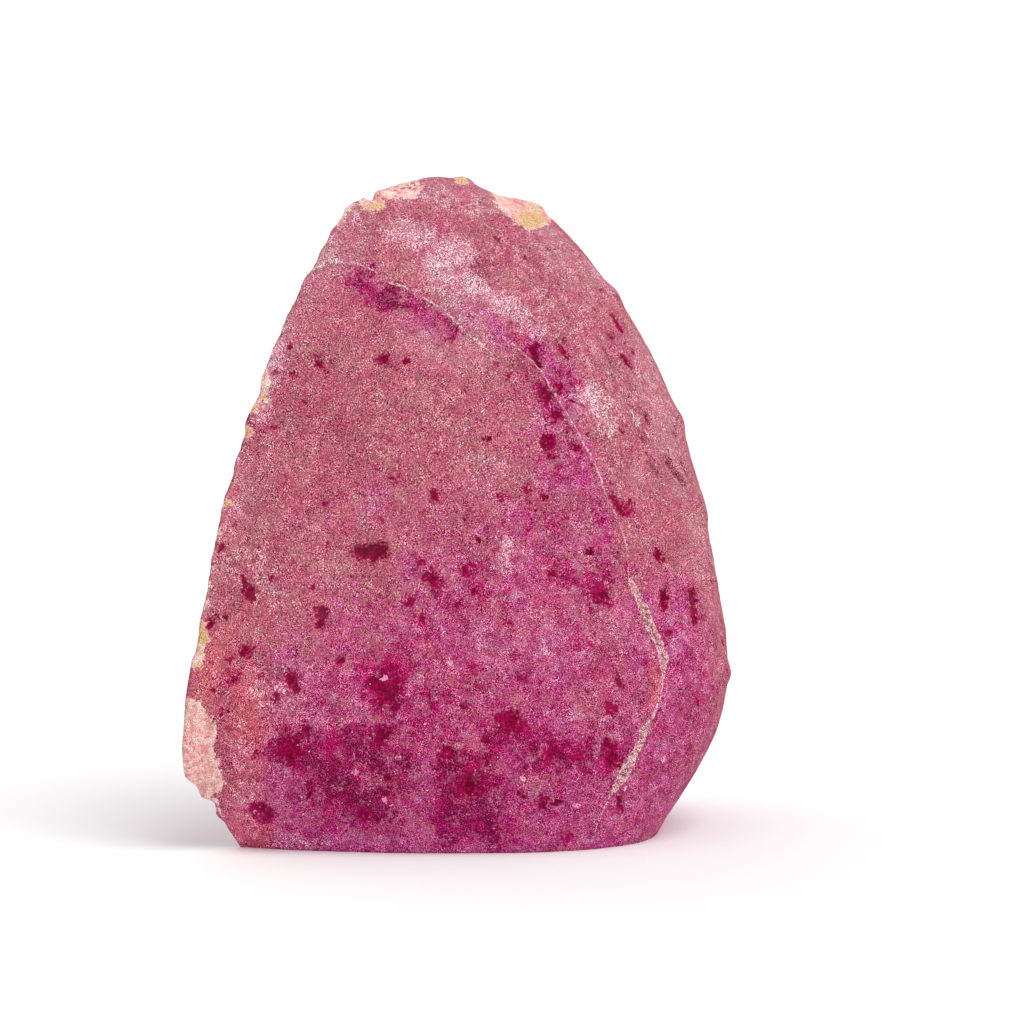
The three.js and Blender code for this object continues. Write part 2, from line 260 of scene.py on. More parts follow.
# pits: x, y, half width in pixels, depth in mm; or x, y, x2, y2, half width, depth for a long one
PITS = [
    (361, 552, 381, 551, 7.5, 1.25), (290, 347, 4.2, 0.4), (315, 356, 5, 0.5), (319, 365, 4.5, 0.5), (277, 371, 4.2, 0.35),
    (292, 374, 4.4, 0.3), (329, 362, 3.0, 0.25), (384, 360, 6.5, 0.6), (408, 361, 5, 0.5), (305, 403, 2.6, 0.2), (268, 427, 279, 427, 2.2, 0.22), (234, 525, 3.2, 0.2),
    (391, 478, 4.5, 0.25), (357, 493, 3.0, 0.2), (325, 504, 3.0, 0.2), (221, 548, 3.8, 0.4), (272, 578, 4.6, 0.4), (327, 544, 3.4, 0.2),
    (242, 578, 249, 587, 3.2, 0.4), (250, 592, 251, 596, 5.8, 0.6), (313, 587, 4, 0.4), (302, 590, 3, 0.2), (362, 577, 3, 0.2), (322, 611, 321, 625, 5.2, 0.55),
    (206, 629, 208, 620, 3.6, 0.4), (208, 620, 218, 617, 3.4, 0.4), (214, 625, 2.6, 0.2), (227, 614, 3.5, 0.3), (247, 651, 5.8, 0.45), (230, 660, 4.8, 0.4), (222, 663, 3, 0.25), (206, 675, 2.6, 0.2), (292, 677, 296, 686, 6, 0.55),
    (276, 699, 6.0, 0.5), (231, 682, 4, 0.12), (222, 711, 4, 0.3), (213, 692, 3.8, 0.3), (340, 662, 4.4, 0.4),
    (385, 689, 15, 0.75), (262, 812, 12.5, 0.8), (433, 496, 7, 0.65), (488, 438, 4, 0.35), (436, 454, 3, 0.2), (500, 498, 4.2, 0.22),
    (528, 489, 4.5, 0.4), (545, 500, 5, 0.4), (465, 519, 3.9, 0.25), (502, 523, 3, 0.2), (525, 530, 4, 0.3), (477, 540, 3.6, 0.3),
    (612, 497, 623, 514, 4.8, 0.22), (623, 514, 631, 504, 4.6, 0.2), (589, 551, 6, 0.5), (658, 556, 6.5, 0.4), (432, 580, 9, 0.4),
    (420, 563, 5, 0.3), (468, 571, 7, 0.35), (477, 592, 4.3, 0.25), (411, 601, 5, 0.35), (421, 619, 4, 0.3), (457, 607, 5, 0.3),
    (552, 571, 6, 0.35), (600, 593, 12, 0.6), (664, 594, 664, 608, 5.5, 0.5), (692, 592, 696, 621, 5, 0.45), (669, 634, 4.6, 0.35),
    (498, 239, 5.4, 0.4), (549, 249, 3.2, 0.3), (524, 258, 4.0, 0.3), (574, 253, 3, 0.25), (547, 295, 3, 0.25), (602, 291, 3.4, 0.3),
    (612, 315, 622, 331, 5.0, 0.6), (611, 337, 3, 0.3), (633, 351, 3.6, 0.35), (625, 359, 630, 366, 4.4, 0.5), (559, 346, 567, 355, 4.6, 0.5),
    (565, 339, 5.0, 0.3), (569, 370, 4, 0.12), (495, 364, 3.8, 0.15), (508, 375, 4.2, 0.15), (534, 347, 541, 366, 4.4, 0.6), (546, 395, 9.5, 0.7),
    (560, 388, 4.2, 0.35), (572, 402, 581, 406, 3.2, 0.12), (556, 416, 6, 0.35), (547, 443, 9, 0.45), (551, 457, 4.2, 0.22), (579, 447, 5, 0.3),
    (589, 434, 4.0, 0.3), (644, 439, 3.4, 0.10), (649, 419, 3.2, 0.10), (623, 432, 3, 0.2), (676, 428, 2.8, 0.12), (675, 437, 2.2, 0.10),
    (616, 676, 620, 684, 4.0, 0.5), (523, 799, 4.6, 0.5), (621, 798, 619, 810, 3.6, 0.55), (543, 804, 6, 0.35), (557, 803, 5.5, 0.35),
    (609, 746, 7.5, 0.5), (613, 761, 8.5, 0.55), (611, 707, 7, 0.35), (566, 836, 7, 0.4), (471, 785, 15, 0.6), (509, 722, 11, 0.5),
    (445, 751, 9, 0.35), (463, 706, 4.5, 0.3), (386, 777, 4.6, 0.4), (291, 751, 12, 0.4), (308, 732, 6, 0.3), (254, 755, 5.5, 0.3),
    (270, 746, 4, 0.25), (381, 735, 8, 0.35), (386, 795, 4.6, 0.3), (365, 812, 8, 0.35), (311, 795, 4.5, 0.2), (485, 740, 6, 0.3),
    (717, 691, 4, 0.3), (698, 702, 4, 0.2), (712, 582, 4, 0.3), (724, 643, 4, 0.3), (578, 756, 6, 0.25), (550, 755, 7, 0.3),
]
# grooves and nicks on the shoulder, sunk in and laid dark brown, partly their own colour and partly painted shade in
# the hollows: x, y, x2, y2, half width in pixels, strength
GROOVES = [
    (668, 458, 685, 482, 4.4, 1.0), (683, 463, 687, 474, 3.6, 0.9), (647.5, 415, 650, 422, 3.8, 0.9), (675.5, 425, 677, 430, 3.2, 0.9), (674, 433, 677, 437, 3.2, 0.9),
    (641.5, 434, 646, 441, 3.6, 0.9), (650, 463, 659, 474, 4.6, 0.7), (625, 396, 631, 406, 4.2, 0.65), (605, 349, 613, 366, 4.6, 0.7), (609, 334, 611, 338, 3.4, 0.8),
    (622, 427, 625, 434, 4, 0.65), (613, 463, 622, 472, 5, 0.6), (706, 516, 710, 525, 4, 0.6), (548, 386, 553, 396, 3.0, 0.7), (690, 500, 696, 512, 4, 0.55),
]
# loose magenta dye, soaked in without a pit: polyline, half width in pixels, strength
DYE = [
    ([(364, 272), (364, 286), (384, 301)], 13, 0.78), ([(383, 300), (412, 305)], 12, 0.74), ([(434, 312), (452, 331)], 10, 0.62),
    ([(533, 345), (545, 372), (560, 392)], 17, 0.48), ([(546, 395), (556, 415)], 13, 0.6), ([(548, 440), (555, 462)], 13, 0.6),
    ([(575, 440), (590, 470), (603, 500)], 12, 0.36), ([(600, 520), (608, 545), (600, 575)], 15, 0.45), ([(620, 548), (629, 572)], 8, 0.6),
    ([(600, 592)], 21, 0.75), ([(552, 570), (580, 582)], 16, 0.5), ([(425, 572), (436, 592)], 13, 0.55), ([(466, 570), (480, 592)], 13, 0.45),
    ([(525, 528), (520, 500)], 10, 0.35), ([(411, 600), (424, 622)], 10, 0.45), ([(384, 684), (386, 696)], 22, 0.95), ([(355, 668), (350, 690)], 9, 0.3),
    ([(290, 750), (312, 760)], 19, 0.9), ([(306, 732)], 9, 0.6), ([(256, 752), (272, 744)], 8, 0.5), ([(300, 772), (345, 784)], 12, 0.6),
    ([(340, 738), (385, 737)], 13, 0.75), ([(345, 792), (366, 800)], 14, 0.8), ([(365, 812), (382, 812)], 12, 0.8), ([(322, 800)], 9, 0.35),
    ([(445, 751), (452, 765)], 13, 0.6), ([(485, 738)], 10, 0.6), ([(508, 722)], 17, 0.8), ([(520, 740), (550, 756), (580, 757)], 14, 0.75),
    ([(471, 784)], 24, 0.95), ([(442, 809), (444, 832)], 12, 0.85), ([(472, 815), (496, 826)], 20, 0.85), ([(455, 790), (450, 805)], 12, 0.5),
    ([(611, 748), (612, 764)], 13, 0.8), ([(611, 706)], 12, 0.6), ([(545, 803), (560, 806)], 12, 0.6), ([(566, 836)], 11, 0.6),
    ([(530, 838), (500, 842)], 8, 0.4), ([(664, 590), (665, 612)], 9, 0.5), ([(692, 590), (698, 624)], 8, 0.6), ([(668, 634)], 8, 0.4),
    ([(658, 556)], 9, 0.5), ([(589, 551)], 9, 0.5), ([(700, 700), (690, 740)], 12, 0.35), ([(660, 720), (655, 760)], 14, 0.3), ([(680, 660), (690, 690)], 13, 0.35), ([(400, 672), (440, 702), (486, 692)], 30, 0.34), ([(506, 748), (562, 752)], 26, 0.58), ([(555, 516)], 22, 0.5), ([(590, 672), (602, 690)], 22, 0.35), ([(555, 590), (550, 600)], 16, 0.3), ([(580, 640)], 16, 0.3), ([(470, 430), (512, 440)], 16, 0.22), ([(385, 628), (420, 640)], 18, 0.24), ([(560, 700)], 22, 0.3), ([(386, 800)], 18, 0.3), ([(345, 826)], 18, 0.35), ([(424, 716), (440, 722)], 18, 0.35), ([(350, 756), (392, 752), (395, 790)], 22, 0.4), ([(512, 796)], 18, 0.35),
    ([(230, 684)], 11, 0.62), ([(262, 812)], 12, 1.0), ([(251, 814)], 8, 0.55), ([(222, 711)], 7, 0.35), ([(242, 640), (252, 655)], 8, 0.3), ([(213, 619)], 8, 0.4), ([(330, 540), (360, 560)], 10, 0.15),
    ([(384, 361)], 9, 0.3), ([(408, 361)], 7, 0.3), ([(316, 360)], 8, 0.3), ([(508, 374)], 8, 0.4), ([(500, 498)], 9, 0.35), ([(545, 500)], 10, 0.4),
    ([(433, 496)], 10, 0.3), ([(391, 478), (400, 490)], 8, 0.2), ([(500, 600), (520, 625)], 18, 0.3), ([(560, 620), (590, 640)], 18, 0.3),
    ([(440, 640), (470, 660)], 16, 0.3), ([(520, 680), (540, 700)], 14, 0.3), ([(330, 700), (300, 715)], 10, 0.3), ([(560, 372), (575, 385)], 10, 0.55),
    ([(621, 508)], 12, 0.45), ([(477, 540), (470, 520)], 8, 0.3), ([(640, 690), (632, 715)], 12, 0.3), ([(430, 700), (420, 720)], 12, 0.25), ([(280, 745), (330, 762), (372, 748)], 26, 0.42), ([(330, 790), (372, 812), (385, 790)], 28, 0.48),
    ([(300, 800), (340, 815)], 16, 0.4), ([(455, 765), (470, 800), (470, 830)], 30, 0.45), ([(415, 770), (405, 745)], 10, 0.4), ([(520, 800), (540, 820)], 16, 0.35), ([(590, 745), (625, 770)], 18, 0.42), ([(640, 740), (650, 790)], 12, 0.3),
]
# violet cast of the dye beside the seam
VIOLET = [
    ([(470, 306), (482, 313), (495, 326), (506, 341)], 9, 0.85), ([(537, 348), (556, 372), (566, 396)], 22, 0.7), ([(556, 400), (577, 442), (592, 480), (606, 525)], 13, 0.75),
    ([(606, 525), (606, 555)], 13, 0.6), ([(560, 500), (540, 560)], 30, 0.3), ([(640, 700), (600, 720), (520, 700)], 40, 0.35), ([(560, 790), (600, 820)], 35, 0.35),
    ([(430, 770), (420, 800)], 24, 0.45), ([(350, 710), (420, 730)], 30, 0.3), ([(690, 640), (680, 720)], 22, 0.3), ([(300, 810), (360, 835)], 24, 0.35),
]
# large areas that took up the magenta dye
MAGENTA = [
    ([(300, 760), (420, 770), (560, 770), (650, 770)], 100, 1.0), ([(400, 670), (520, 640), (640, 680)], 85, 0.95), ([(560, 540), (600, 590)], 60, 0.8),
    ([(470, 560), (530, 600)], 60, 0.65), ([(545, 380), (560, 440), (590, 500)], 30, 0.75), ([(690, 620), (690, 700)], 50, 0.8), ([(280, 690), (300, 800)], 35, 0.7),
    ([(470, 500), (520, 480)], 40, 0.35), ([(470, 310), (500, 335)], 22, 0.55), ([(362, 278), (400, 304), (450, 325)], 22, 0.75), ([(535, 350), (560, 395)], 28, 0.7), ([(384, 478), (400, 515)], 22, 0.6), ([(305, 512), (350, 505)], 30, 0.42), ([(318, 428)], 24, 0.35), ([(430, 556)], 22, 0.5), ([(250, 740), (272, 762)], 20, 0.5), ([(262, 840), (340, 846), (440, 848), (600, 846)], 22, 1.0), ([(250, 800), (262, 830)], 22, 0.6),
]
# paler, scuffed and frosted areas
PALE = [
    ([(400, 231), (425, 238), (462, 254)], 17, 0.95), ([(432, 264), (470, 285), (505, 303)], 13, 0.95), ([(505, 303), (535, 330)], 14, 0.55),
    ([(590, 399), (606, 414)], 17, 0.92), ([(583, 392), (575, 398)], 12, 0.8), ([(636, 421), (640, 424)], 6, 0.7), ([(509, 552), (504, 566)], 11, 0.8),
    ([(315, 268), (334, 262)], 7, 0.8), ([(560, 270), (590, 300)], 26, 0.3), ([(530, 300), (590, 340)], 28, 0.4), ([(540, 412), (560, 430)], 14, 0.5),
    ([(400, 420), (440, 400)], 30, 0.25), ([(640, 380), (670, 430)], 20, 0.35), ([(445, 750), (462, 744)], 7, 0.6), ([(380, 745), (396, 757)], 6, 0.25),
    ([(420, 196), (480, 206)], 22, 0.45), ([(500, 240), (520, 262)], 14, 0.4), ([(353, 312), (354, 315)], 3.4, 1.0), ([(234, 513), (246, 517)], 3.4, 0.95), ([(440, 744), (470, 740)], 5, 0.8), ([(454, 212), (462, 218)], 2.0, 0.7), ([(726, 656), (727, 664)], 2.2, 1.0), ([(385, 700), (372, 706)], 4, 0.4), ([(455, 440), (470, 432)], 9, 0.35), ([(500, 548), (512, 552)], 12, 0.4), ([(436, 760), (420, 768)], 7, 0.6), ([(505, 770), (520, 778)], 6, 0.4), ([(430, 720), (452, 716)], 7, 0.4), ([(350, 745), (362, 748)], 5, 0.35), ([(610, 716), (634, 704)], 7, 0.4), ([(478, 668), (492, 674)], 6, 0.35), ([(540, 640), (548, 650)], 6, 0.3), ([(560, 716), (600, 712)], 10, 0.35), 
    # the last two rows pale the bottom edge by the foot: painted light that evens out the shade on the rounding there
    ([(700, 520), (712, 600)], 14, 0.35), ([(655, 370), (688, 460)], 12, 0.35), ([(250, 700), (240, 740)], 10, 0.3), ([(222, 560), (214, 640)], 16, 0.35), ([(240, 750), (245, 800)], 22, 0.42), ([(300, 264), (334, 230), (356, 214)], 16, 0.5), ([(274, 340), (266, 380), (258, 408)], 15, 0.78), ([(238, 462), (226, 520)], 13, 0.46), ([(252, 556), (270, 600)], 18, 0.5), ([(272, 690), (300, 722)], 24, 0.5), ([(560, 240), (600, 276)], 22, 0.4), ([(434, 290), (466, 312)], 13, 0.5), ([(240, 800), (252, 836), (300, 846)], 13, 0.5), ([(300, 842), (400, 847)], 9, 0.4), ([(460, 460), (500, 470)], 20, 0.35),
]
# warmer, browner red areas
WARM = [
    ([(440, 480), (400, 400)], 40, 0.3), ([(246, 700), (252, 840)], 26, 1.1), ([(205, 700), (215, 640)], 14, 1.0), ([(238, 470), (224, 545)], 13, 0.6), ([(235, 620), (240, 680)], 16, 0.4),
    ([(380, 250), (390, 262)], 16, 0.4), ([(300, 500), (330, 420)], 40, 0.35), ([(700, 480), (716, 560)], 20, 0.3),
    ([(652, 646), (651, 662)], 6, 1.0), ([(654, 672), (653, 692)], 7, 1.0), ([(650, 700), (645, 716)], 5, 0.8), ([(560, 600), (520, 640)], 18, 0.45), ([(600, 640), (630, 690)], 16, 0.35), ([(330, 640), (360, 700)], 18, 0.35), ([(440, 560), (400, 540)], 16, 0.4), ([(520, 560), (535, 600)], 14, 0.4), ([(245, 560), (260, 620)], 14, 0.5), ([(620, 300), (640, 340)], 16, 0.4),
]
# greyer, dustier stone that took up little dye
DUSTY = [
    ([(300, 262), (330, 232), (352, 216)], 24, 0.6), ([(395, 196), (440, 190), (482, 196)], 24, 0.45), ([(345, 262), (372, 262)], 18, 0.5), ([(432, 278), (448, 300), (472, 318)], 20, 0.55),
    ([(548, 236), (562, 262), (600, 280)], 26, 0.6), ([(640, 350), (652, 380), (664, 420), (678, 466)], 28, 0.6), ([(600, 360), (624, 404)], 24, 0.35), ([(562, 392), (572, 430)], 18, 0.4),
    ([(290, 300), (268, 360)], 24, 0.4), ([(236, 470), (226, 530)], 18, 0.4), ([(690, 500), (700, 560)], 20, 0.3), ([(640, 470), (620, 470)], 24, 0.3), ([(430, 345), (480, 350)], 24, 0.4),
    ([(590, 560), (600, 620)], 26, 0.35), ([(600, 705), (600, 715)], 22, 0.35), ([(505, 635), (560, 640)], 26, 0.3),
]
# browner facets, where the skin is thin; on the grooves and in the dent beside the seam the brown is painted shade
BROWN = [
    ([(516, 352), (530, 374)], 12, 1.0), ([(478, 266), (496, 273)], 13, 0.8), ([(550, 398), (566, 424)], 5, 0.7), ([(392, 216), (398, 240)], 12, 0.6), ([(222, 696), (228, 708)], 10, 0.7),
    ([(404, 262), (420, 252)], 10, 0.4), ([(590, 470), (604, 500)], 6, 0.4), ([(350, 470), (330, 500)], 26, 0.3), ([(620, 290), (640, 330)], 14, 0.35), ([(669, 459), (685, 483)], 4.5, 1.0), ([(683, 462), (688, 474)], 4, 0.8), ([(648, 416), (651, 422)], 4, 0.8), ([(642, 435), (646, 442)], 4, 0.8), ([(656, 466), (662, 474)], 6, 0.6), ([(626, 378), (632, 386)], 5, 0.6), ([(608, 356), (614, 368)], 6, 0.6),
    ([(560, 500), (546, 520)], 20, 0.4), ([(600, 650), (590, 680)], 22, 0.35), ([(430, 690), (470, 700)], 24, 0.3), ([(700, 640), (690, 700)], 24, 0.25), ([(318, 428), (350, 440)], 24, 0.55), ([(350, 395)], 20, 0.45), ([(475, 432)], 22, 0.5), ([(420, 470)], 24, 0.45), ([(515, 312), (560, 318)], 20, 0.5),
    ([(598, 436)], 18, 0.6), ([(562, 512), (600, 510)], 24, 0.6), ([(672, 556)], 22, 0.6), ([(640, 680), (636, 715)], 20, 0.6), ([(478, 676)], 20, 0.5), ([(552, 585)], 18, 0.4), ([(700, 560)], 14, 0.4),
]
# faint grooves that run down the shoulder, with painted shade in their hollows and painted light on their crests
STRIA = [
    ([(610, 300), (650, 380), (690, 480), (712, 560)], 34, 0.9), ([(600, 370), (650, 470)], 26, 0.5), ([(480, 220), (560, 260)], 22, 0.3),
]
SEAM = [
    [(309, 271, 1.3), (333, 262, 1.6), (355, 263, 0.9), (373, 271, 0.8), (389, 283, 1.6), (408, 289, 1.3), (423, 298, 0.8), (443, 310, 1.3), (456, 321, 1.4), (466, 331, 1.2), (476, 340, 2.0), (484, 347, 1.6), (491, 353, 0.9), (500, 362, 0.4)],
    [(503, 336, 0.5), (516, 345, 0.5), (532, 359, 0.9), (544, 374, 0.9), (554, 391, 1.4), (565, 412, 0.8), (573, 425, 0.7), (581, 439, 0.8), (591, 456, 1.3), (598, 472, 0.7), (604, 491, 1.0), (615, 514, 0.9), (622, 530, 0.8), (628, 556, 0.5), (629, 577, 0.7)],
    [(607, 362, 0.4), (616, 380, 0.5), (636, 421, 0.8), (648, 432, 0.8), (659, 446, 0.8), (668, 455, 0.9), (677, 478, 0.8), (686, 483, 0.7)],
]
VEIN = [(629, 577, 0.9), (631, 584, 3.4), (638, 598, 4.4), (645, 612, 5.4), (650, 627, 5.6), (657, 640, 5.0), (661, 650, 4.6), (663, 657, 6.4), (662.5, 665, 3.8), (663, 672, 2.0), (662, 684, 1.2), (661, 693, 0.8), (656, 708, 0.9), (650, 720, 1.6), (643, 731, 4.6), (641, 742, 3.4), (634, 755, 4.8), (628, 766, 6.2), (621, 778, 6.0), (615, 787, 3.6), (609, 796, 1.2), (603, 808, 0.5), (596, 825, 0.4), (591, 842, 0.6)]


# fresh stone where the rim broke away: outline in pixels, how pale, how much ochre, depth in mm
CHIPS_PX = [
    ([(190, 697), (178, 699), (174, 733), (172, 766), (178, 780), (190, 790), (196, 799), (213, 797), (221, 789), (226, 782), (220, 772), (217, 759), (212, 750), (217, 733), (214, 721), (205, 709), (198, 701)], 1.0, 0.0, 0.0),
    ([(208, 782), (222, 783), (221, 790), (213, 796), (206, 792)], 1.0, 0.45, 0.0),
    ([(196, 799), (214, 796), (220, 806), (224, 816), (217, 814), (208, 803)], 0.75, 0.1, 0.0),
    ([(262, 362), (257, 380), (250, 392), (246, 404), (243, 414), (256, 414), (261, 406), (266, 402), (268, 394), (271, 384), (271, 376), (269, 368)], 0.72, 0.15, 0.12),
    ([(259, 393), (269, 393), (268, 402), (261, 403)], 1.0, 1.0, 0.0),
    ([(248, 404), (259, 402), (260, 412), (248, 415)], 0.95, 0.9, 0.0),
    ([(240, 427), (255, 427), (255, 434), (247, 438), (238, 440)], 0.9, 0.9, 0.12),
    ([(220, 499), (232, 499), (232, 507), (219, 508)], 1.0, 1.0, 0.12),
    ([(218, 520), (208, 545), (202, 570), (197, 600), (194, 619), (205, 618), (209, 603), (211, 585), (213, 568), (217, 550), (223, 530)], 0.62, 0.0, 0.0),
    ([(196, 620), (191, 640), (188, 655), (185, 670), (196, 669), (205, 668), (204, 655), (203, 645), (206, 640), (206, 633), (204, 626)], 1.0, 0.25, 0.15),
    ([(195, 620), (206, 622), (210, 641), (203, 646), (193, 643)], 1.0, 1.0, 0.0),
    ([(190, 662), (205, 660), (204, 669), (186, 670)], 0.9, 0.7, 0.0),
    ([(336, 205), (326, 222), (318, 236), (330, 236), (341, 226), (352, 210), (358, 203), (352, 198)], 0.7, 0.15, 0.0),
    ([(358, 204), (366, 200), (378, 195), (386, 203), (384, 208), (375, 212), (366, 212)], 1.0, 0.95, 0.15),
    ([(354, 194), (366, 196), (377, 190), (392, 180), (412, 172), (424, 178), (414, 184), (398, 189), (386, 196), (378, 201), (366, 205), (358, 204)], 0.95, 0.1, 0.1),
    ([(384, 196), (390, 190), (402, 188), (417, 184), (427, 184), (424, 190), (417, 199), (408, 201), (399, 198), (390, 200)], 0.85, -0.1, 0.1),
    ([(452, 172), (472, 172), (471, 182), (463, 186), (454, 183)], 0.9, 0.7, 0.1),
    ([(488, 188), (503, 188), (520, 188), (536, 196), (548, 208), (549, 218), (541, 226), (531, 229), (520, 225), (509, 216), (499, 207), (494, 201)], 1.0, 0.0, 0.0),
    ([(508, 208), (530, 204), (552, 212), (551, 224), (541, 228), (531, 230), (520, 226), (510, 217)], 1.0, 0.62, 0.0),
    ([(524, 212), (546, 217), (538, 228), (528, 228), (518, 222)], 1.0, 1.0, 0.0),
]


# small lumps and notches of the outline: x, y, radius in pixels, how far out in mm
LUMPS = [
    (464, 181, 11, 0.9), (520, 195, 11, 1.7), (538, 206, 10, 1.2), (373, 196, 7, -1.0), (348, 209, 8, 0.5), (333, 230, 8, 0.5), (302, 282, 12, 0.45),
    (248, 420, 20, 0.5), (184, 757, 18, 0.7), (187, 775, 11, 0.8), (209, 808, 8, -1.6), (221, 824, 9, -0.5), (679, 420, 18, 1.0), (704, 494, 12, 0.4),
    (706, 512, 20, 0.9), (729, 674, 16, 1.2), (720, 608, 22, -0.4), (668, 822, 12, -0.8), (612, 294, 16, 1.1), (196, 788, 6, -0.4), (226, 502, 12, 0.4), (237, 458, 10, 0.3),
    (690, 446, 9, -0.3), (497, 194, 6, -0.3), (256, 392, 9, -0.25), (194, 664, 10, 0.35), (228, 470, 8, 0.25), (236, 450, 7, -0.2),
    (208, 560, 9, 0.2), (202, 590, 8, -0.2), (196, 625, 9, 0.3), (720, 560, 9, 0.3), (727, 640, 8, -0.3), (716, 700, 10, 0.4), (706, 742, 9, -0.3),
    (656, 362, 9, 0.3), (640, 330, 9, -0.25), (626, 300, 9, 0.3), (585, 246, 8, 0.3), (572, 236, 7, -0.3), (278, 334, 9, -0.25), (262, 378, 9, 0.25),
    (320, 250, 8, 0.3), (332, 228, 7, -0.3), (672, 463, 4.5, -0.35), (678, 472, 4.5, -0.4), (684, 481, 4, -0.35), (686, 468, 4, -0.3), (649, 419, 4, -0.3), (644, 438, 4, -0.3),
    (659, 470, 6, -0.35), (629, 382, 5, -0.3), (611, 362, 6, -0.35), (676, 428, 4, -0.25), (665, 445, 8, 0.25), (640, 400, 9, 0.2), (655, 430, 6, 0.2),
]


_d = at(690, 500) - at(630, 340)
STRIA_DIR = tuple(float(c) for c in _d / np.linalg.norm(_d))


def pixel_of(P):
    """Where points of the stone fall in the 1024 frame."""
    v = P - CAM_P
    z = v @ c_f
    return np.stack([512 + FPX * (v @ c_r) / z, 512 - FPX * (v @ c_u) / z], 1)


def inside_by(q, poly):
    """Signed distance to a closed outline in pixels, positive inside."""
    p = np.array(poly, float)
    n = np.roll(p, -1, 0)
    best = np.full(len(q), 1e9)
    odd = np.zeros(len(q), bool)
    for a, b in zip(p, n):
        ab = b - a
        t = np.clip(((q - a) @ ab) / (ab @ ab), 0, 1)
        best = np.minimum(best, np.linalg.norm(q - a - t[:, None] * ab, axis=1))
        cross = ((a[1] > q[:, 1]) != (b[1] > q[:, 1])) & (q[:, 0] < (b[0] - a[0]) * (q[:, 1] - a[1]) / (b[1] - a[1] + 1e-12) + a[0])
        odd ^= cross
    return np.where(odd, best, -best)


def ribbon(P, N, lines):
    """Signed offset from the nearest line and the line's half width there, both in mm, so that a thin line
    stays crisp between points of the mesh. The half width falls below zero away from every line."""
    best = np.full(len(P), 1e9)
    off, rad = np.full(len(P), 9.0), np.full(len(P), -9.0)
    for line in lines:
        pts = path(line)
        rr = np.array([p[2] for p in line]) * PX
        for i in range(len(pts) - 1):
            a, b = pts[i], pts[i + 1]
            ab = b - a
            L = np.linalg.norm(ab)
            raw = ((P - a) @ ab) / (L * L)
            t = np.clip(raw, 0, 1)
            d = np.linalg.norm(P - a - t[:, None] * ab, axis=1)
            m = d < best
            if not m.any():
                continue
            side = np.cross(ab[None], N[m])
            side /= np.linalg.norm(side, axis=1)[:, None]
            over = np.zeros(m.sum())
            if i == 0:
                over = np.maximum(over, -raw[m] * L)
            if i == len(pts) - 2:
                over = np.maximum(over, (raw[m] - 1) * L)
            best[m] = d[m]
            off[m] = ((P[m] - a) * side).sum(1)
            rad[m] = (rr[i] + (rr[i + 1] - rr[i]) * t)[m] - 0.8 * over - np.maximum(d[m] - 1.6, 0)
    return off, rad


